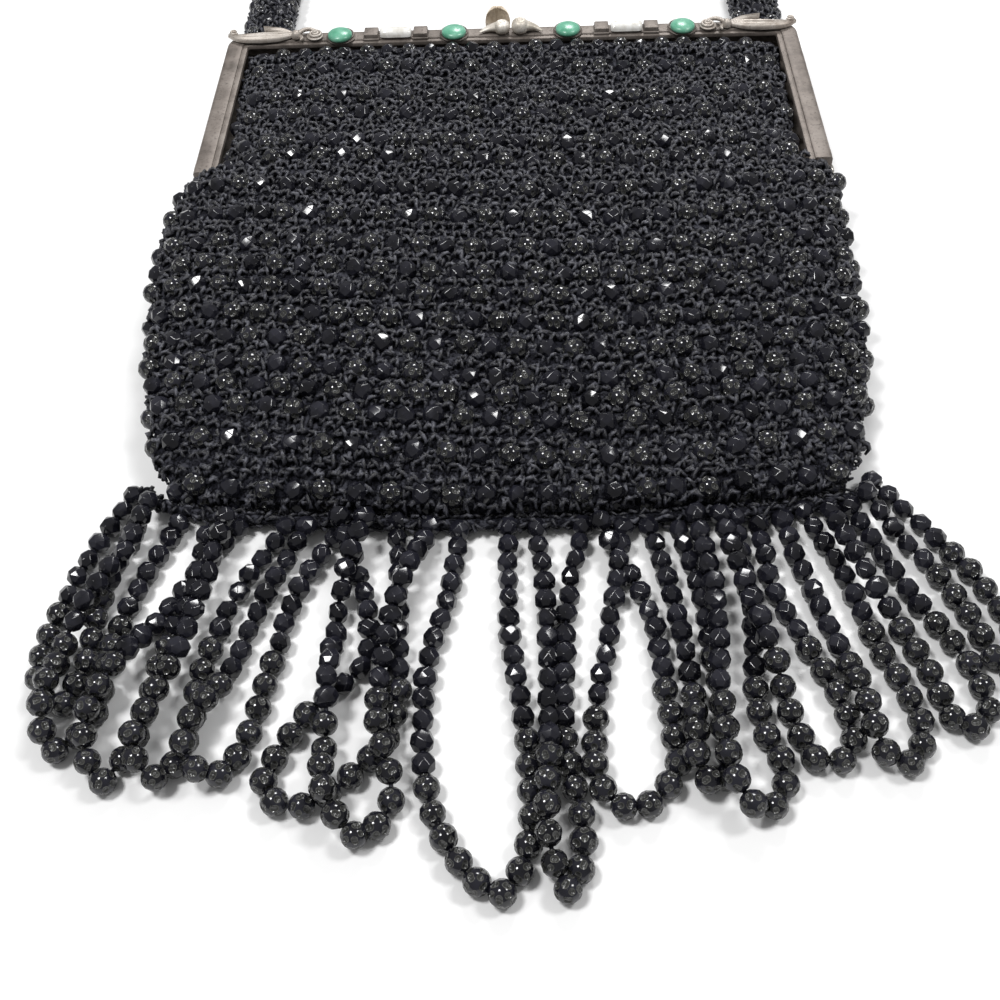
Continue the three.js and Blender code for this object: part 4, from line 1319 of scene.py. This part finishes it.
def stitches_on_cord(path, half_wide, half_high, course, pitch):
    """Courses of stitches around a cord, offset by half a stitch in turn."""
    total = path_lengths(path)[-1]
    around = round(math.pi * (half_wide + half_high) / pitch)
    stations = np.arange(course / 2, total - course / 2, course)
    slots = np.arange(around) * 2 * math.pi / around
    turns = (slots[None, :] + (np.arange(len(stations)) % 2)[:, None] * math.pi / around).ravel()
    slips = rng.normal(scale=CORD_SLIP, size=around * len(stations))
    lengths = np.clip(np.repeat(stations, around) + slips, CORD_END, total - CORD_END)
    places, frames = cord_surface(path, half_wide, half_high, lengths, turns)
    places = places + rng.normal(scale=CORD_JITTER, size=places.shape)
    return scattered(PLAIN_STITCHES, places, frames)


def oval_tube(path, half_wide, half_high, sides, spacing):
    """Closed tube of elliptical section along a path."""
    total = path_lengths(path)[-1]
    stations = np.linspace(CORD_END, total - CORD_END, max(3, round(total / spacing)))
    turns = np.arange(sides) * 2 * math.pi / sides
    rings = []
    for station in stations:
        places, _ = cord_surface(path, half_wide, half_high, np.full(sides, station), turns)
        rings.append(places)
    return loft(rings)


# Fringe

def edge_path():
    """Route of the crocheted edge along the pouch's bottom, out to its corners."""
    offset = EDGE_RADIUS
    low_up, low_left, low_right, _ = BELLY[1]
    corner_up, corner_left, corner_right, _ = BELLY[2]
    low_y = low_up * BELLY_LENGTH + CORNER_LIFT
    corner_y = corner_up * BELLY_LENGTH + CORNER_LIFT
    bottom_half = BELLY[0][1] * BELLY_HALF
    bottom = [(share * bottom_half, CORNER_LIFT * share ** 2 - offset, EDGE_HEIGHT)
              for share in (-0.9, -0.6, -0.3, 0, 0.3, 0.6, 0.9)]
    points = [
        (-corner_left * BELLY_HALF - offset * 0.9, corner_y - offset * 0.5, EDGE_HEIGHT),
        (-low_left * BELLY_HALF - offset * 0.5, low_y - offset, EDGE_HEIGHT),
        *bottom,
        (low_right * BELLY_HALF + offset * 0.5, low_y - offset, EDGE_HEIGHT),
        (corner_right * BELLY_HALF + offset * 0.9, corner_y - offset * 0.5, EDGE_HEIGHT),
    ]
    return smooth_path(points)


def lay_strings(routes, spacing):
    """Each string lies on the table, or over the strings that were laid before it."""
    laid = np.zeros((0, 3))
    paths = []
    reach = 2 * STRING_RADIUS
    lowest = STRING_RADIUS + TABLE_GAP
    for route in routes:
        flat = resampled(smooth_path([(x, y, 0.0) for x, y in route]), spacing)
        heights = np.full(len(flat), lowest)
        if len(laid):
            gaps = np.linalg.norm(flat[:, None, :2] - laid[None, :, :2], axis=-1)
            over = laid[None, :, 2] + np.sqrt(np.clip(reach ** 2 - gaps ** 2, 0, None))
            over = np.where(gaps < reach, over, lowest)
            heights = np.minimum(np.maximum(heights, over.max(axis=1)), 3 * STRING_RADIUS)
        heights[0] = max(heights[0], EDGE_HEIGHT)
        heights[-1] = max(heights[-1], EDGE_HEIGHT)
        steps = np.abs(np.arange(len(flat))[:, None] - np.arange(len(flat))[None, :])
        raised = heights[None, :] - steps * spacing * LIFT_SLOPE
        flat[:, 2] = np.maximum(raised.max(axis=1), lowest)
        laid = np.concatenate([laid, flat])
        paths.append(flat)
    return paths


def string_beads(path):
    """Beads of one looped string: centres, directions and which are round."""
    dense = smooth_path(path, 6)
    lengths = path_lengths(dense)
    tip = lengths[np.argmin(dense[:, 1])]
    places = []
    kinds = []
    place = -STRING_LEAD
    while place < lengths[-1] - CUT_PITCH * LAST_BEAD_SHARE:
        near_tip = abs(place - tip) < ROUND_REACH
        pitch = ROUND_PITCH if near_tip else CUT_PITCH
        places.append(max(place + pitch / 2, FIRST_BEAD))
        kinds.append(near_tip)
        place += pitch
    places = np.array(places)
    centres = at_lengths(dense, places)
    directions = at_lengths(dense, places + 0.5) - at_lengths(dense, places - 0.5)
    return centres, directions, np.array(kinds)


def build_fringe():
    """Crocheted edge, then the looped strings with a thread and beads each."""
    edge = edge_path()
    edge = at_lengths(edge, np.linspace(EDGE_TRIM, path_lengths(edge)[-1] - EDGE_TRIM, EDGE_STATIONS))
    make_piece("edge_cord", oval_tube(edge, EDGE_CORE, EDGE_CORE, 12, 1.5), CLOTH, "fringe")
    make_piece("edge_stitches", stitches_on_cord(edge, EDGE_CORE, EDGE_CORE, EDGE_COURSE, EDGE_PITCH), YARN)
    paths = lay_strings(FRINGE_ROUTES, STRING_STEP)
    make_piece("fringe_threads", joined([tube(path, THREAD_RADIUS, 5) for path in paths]), CLOTH)
    centres, directions, kinds = gathered(string_beads(path) for path in paths)
    centres[:, :2] += rng.normal(scale=FRINGE_JITTER, size=(len(centres), 2))
    add_beads("fringe", centres, directions, kinds)


# Strap

def strap_path():
    foot = FRAME_TOP + CLEARANCE + STRAP_GAP
    places, _ = arch_route(STRAP_HALF, STRAP_TOP, foot, STRAP_RADIUS, 24)
    height = STRAP_THICKNESS / 2
    return np.column_stack([places, np.full(len(places), height)])


def build_strap():
    """Core, stitches around it, and rings of beads that are offset in turn."""
    path = resampled(strap_path(), 1.0)
    half_wide = STRAP_WIDTH / 2 - STRAP_YARN_INSET[0]
    half_high = STRAP_THICKNESS / 2 - STRAP_YARN_INSET[1]
    core = oval_tube(path, half_wide - STRAP_CORE_INSET, half_high - STRAP_CORE_INSET, 28, 2.0)
    make_piece("strap_core", core, CLOTH, "strap")
    make_piece("strap_stitches", stitches_on_cord(path, half_wide, half_high, COURSE, STITCH_PITCH), YARN)
    total = path_lengths(path)[-1]
    around = STRAP_BEADS_AROUND
    stations = np.arange(STRAP_FIRST_RING, total - STRAP_LAST_RING, STRAP_BEAD_STEP)
    slots = np.arange(around)[None, :] + 0.5 * (np.arange(len(stations)) % 2)[:, None]
    turns = slots.ravel() * 2 * math.pi / around + STRAP_BEAD_TURN
    jitter = rng.normal(scale=STRAP_BEAD_JITTER, size=around * len(stations))
    lengths = np.repeat(stations, around) + jitter
    lengths = np.clip(lengths, STRAP_BEAD_MARGIN, total - STRAP_BEAD_MARGIN)
    half_wide = STRAP_WIDTH / 2 - BEAD_DEPTH
    half_high = STRAP_THICKNESS / 2 - BEAD_DEPTH
    centres, frames = cord_surface(path, half_wide, half_high, lengths, turns)
    round_kind = np.arange(len(centres)) % 2 == 0
    add_beads("strap", centres, frames[:, :, 0], round_kind, plain=True)


build_frame()
build_pins()
build_stones()
build_bars()
build_scrolls()
build_knobs()
build_petal()
build_pouch_cloth()
build_pouch_stitches()
build_pouch_beads()
build_fringe()
build_strap()


# Table, light and camera. Lights have a name, a place, a size and a power.
TABLE_HALF = 1500.0
SKY_STRENGTH = 0.3
LIGHT_TARGET = (0, 60, 0)
LIGHTS = [
    ("key_light", (-220, -40, 560), 130, 2.3),
    ("fill_light", (330, 60, 480), 120, 1.2),
    ("back_light", (60, 480, 420), 150, 1.8),
]
CAMERA_PLACE = [4.12, -135.53, 168.75]
CAMERA_TURNS = [("Z", 1.91), ("X", 40.01), ("Z", -2.54)]
CAMERA_SENSOR = 36.0
CAMERA_LENS = 44.68
CAMERA_SHIFT = -0.01


def build_table():
    half = TABLE_HALF * MM
    corners = [(-half, -half, 0.0), (half, -half, 0.0), (half, half, 0.0), (-half, half, 0.0)]
    mesh = bpy.data.meshes.new("table")
    mesh.from_pydata(corners, [], [(0, 1, 2, 3)])
    mesh.materials.append(table_paper())
    table = bpy.data.objects.new("table", mesh)
    bpy.context.scene.collection.objects.link(table)


def to_world(place):
    return Vector((np.array(place) + ORIGIN) * MM)


def area_light(name, place, size, power):
    """Soft square light that points at the purse."""
    data = bpy.data.lights.new(name, "AREA")
    data.size = size * MM
    data.energy = power
    lamp = bpy.data.objects.new(name, data)
    lamp.location = to_world(place)
    aim = to_world(LIGHT_TARGET) - lamp.location
    lamp.rotation_euler = aim.to_track_quat("-Z", "Y").to_euler()
    bpy.context.scene.collection.objects.link(lamp)


def build_light():
    world = bpy.data.worlds.new("studio")
    world.use_nodes = True
    sky = world.node_tree.nodes["Background"]
    sky.inputs["Color"].default_value = (1.0, 1.0, 1.0, 1.0)
    sky.inputs["Strength"].default_value = SKY_STRENGTH
    bpy.context.scene.world = world
    for light in LIGHTS:
        area_light(*light)


def build_camera():
    data = bpy.data.cameras.new("camera")
    data.sensor_width = CAMERA_SENSOR
    data.lens = CAMERA_LENS
    data.shift_x = CAMERA_SHIFT
    camera = bpy.data.objects.new("camera", data)
    pose = Matrix.Translation(to_world(CAMERA_PLACE))
    for axis, degrees in CAMERA_TURNS:
        pose = pose @ Matrix.Rotation(math.radians(degrees), 4, axis)
    camera.matrix_world = pose
    bpy.context.scene.collection.objects.link(camera)
    bpy.context.scene.camera = camera
    bpy.context.scene.view_settings.view_transform = "Standard"


build_table()
build_light()
build_camera()
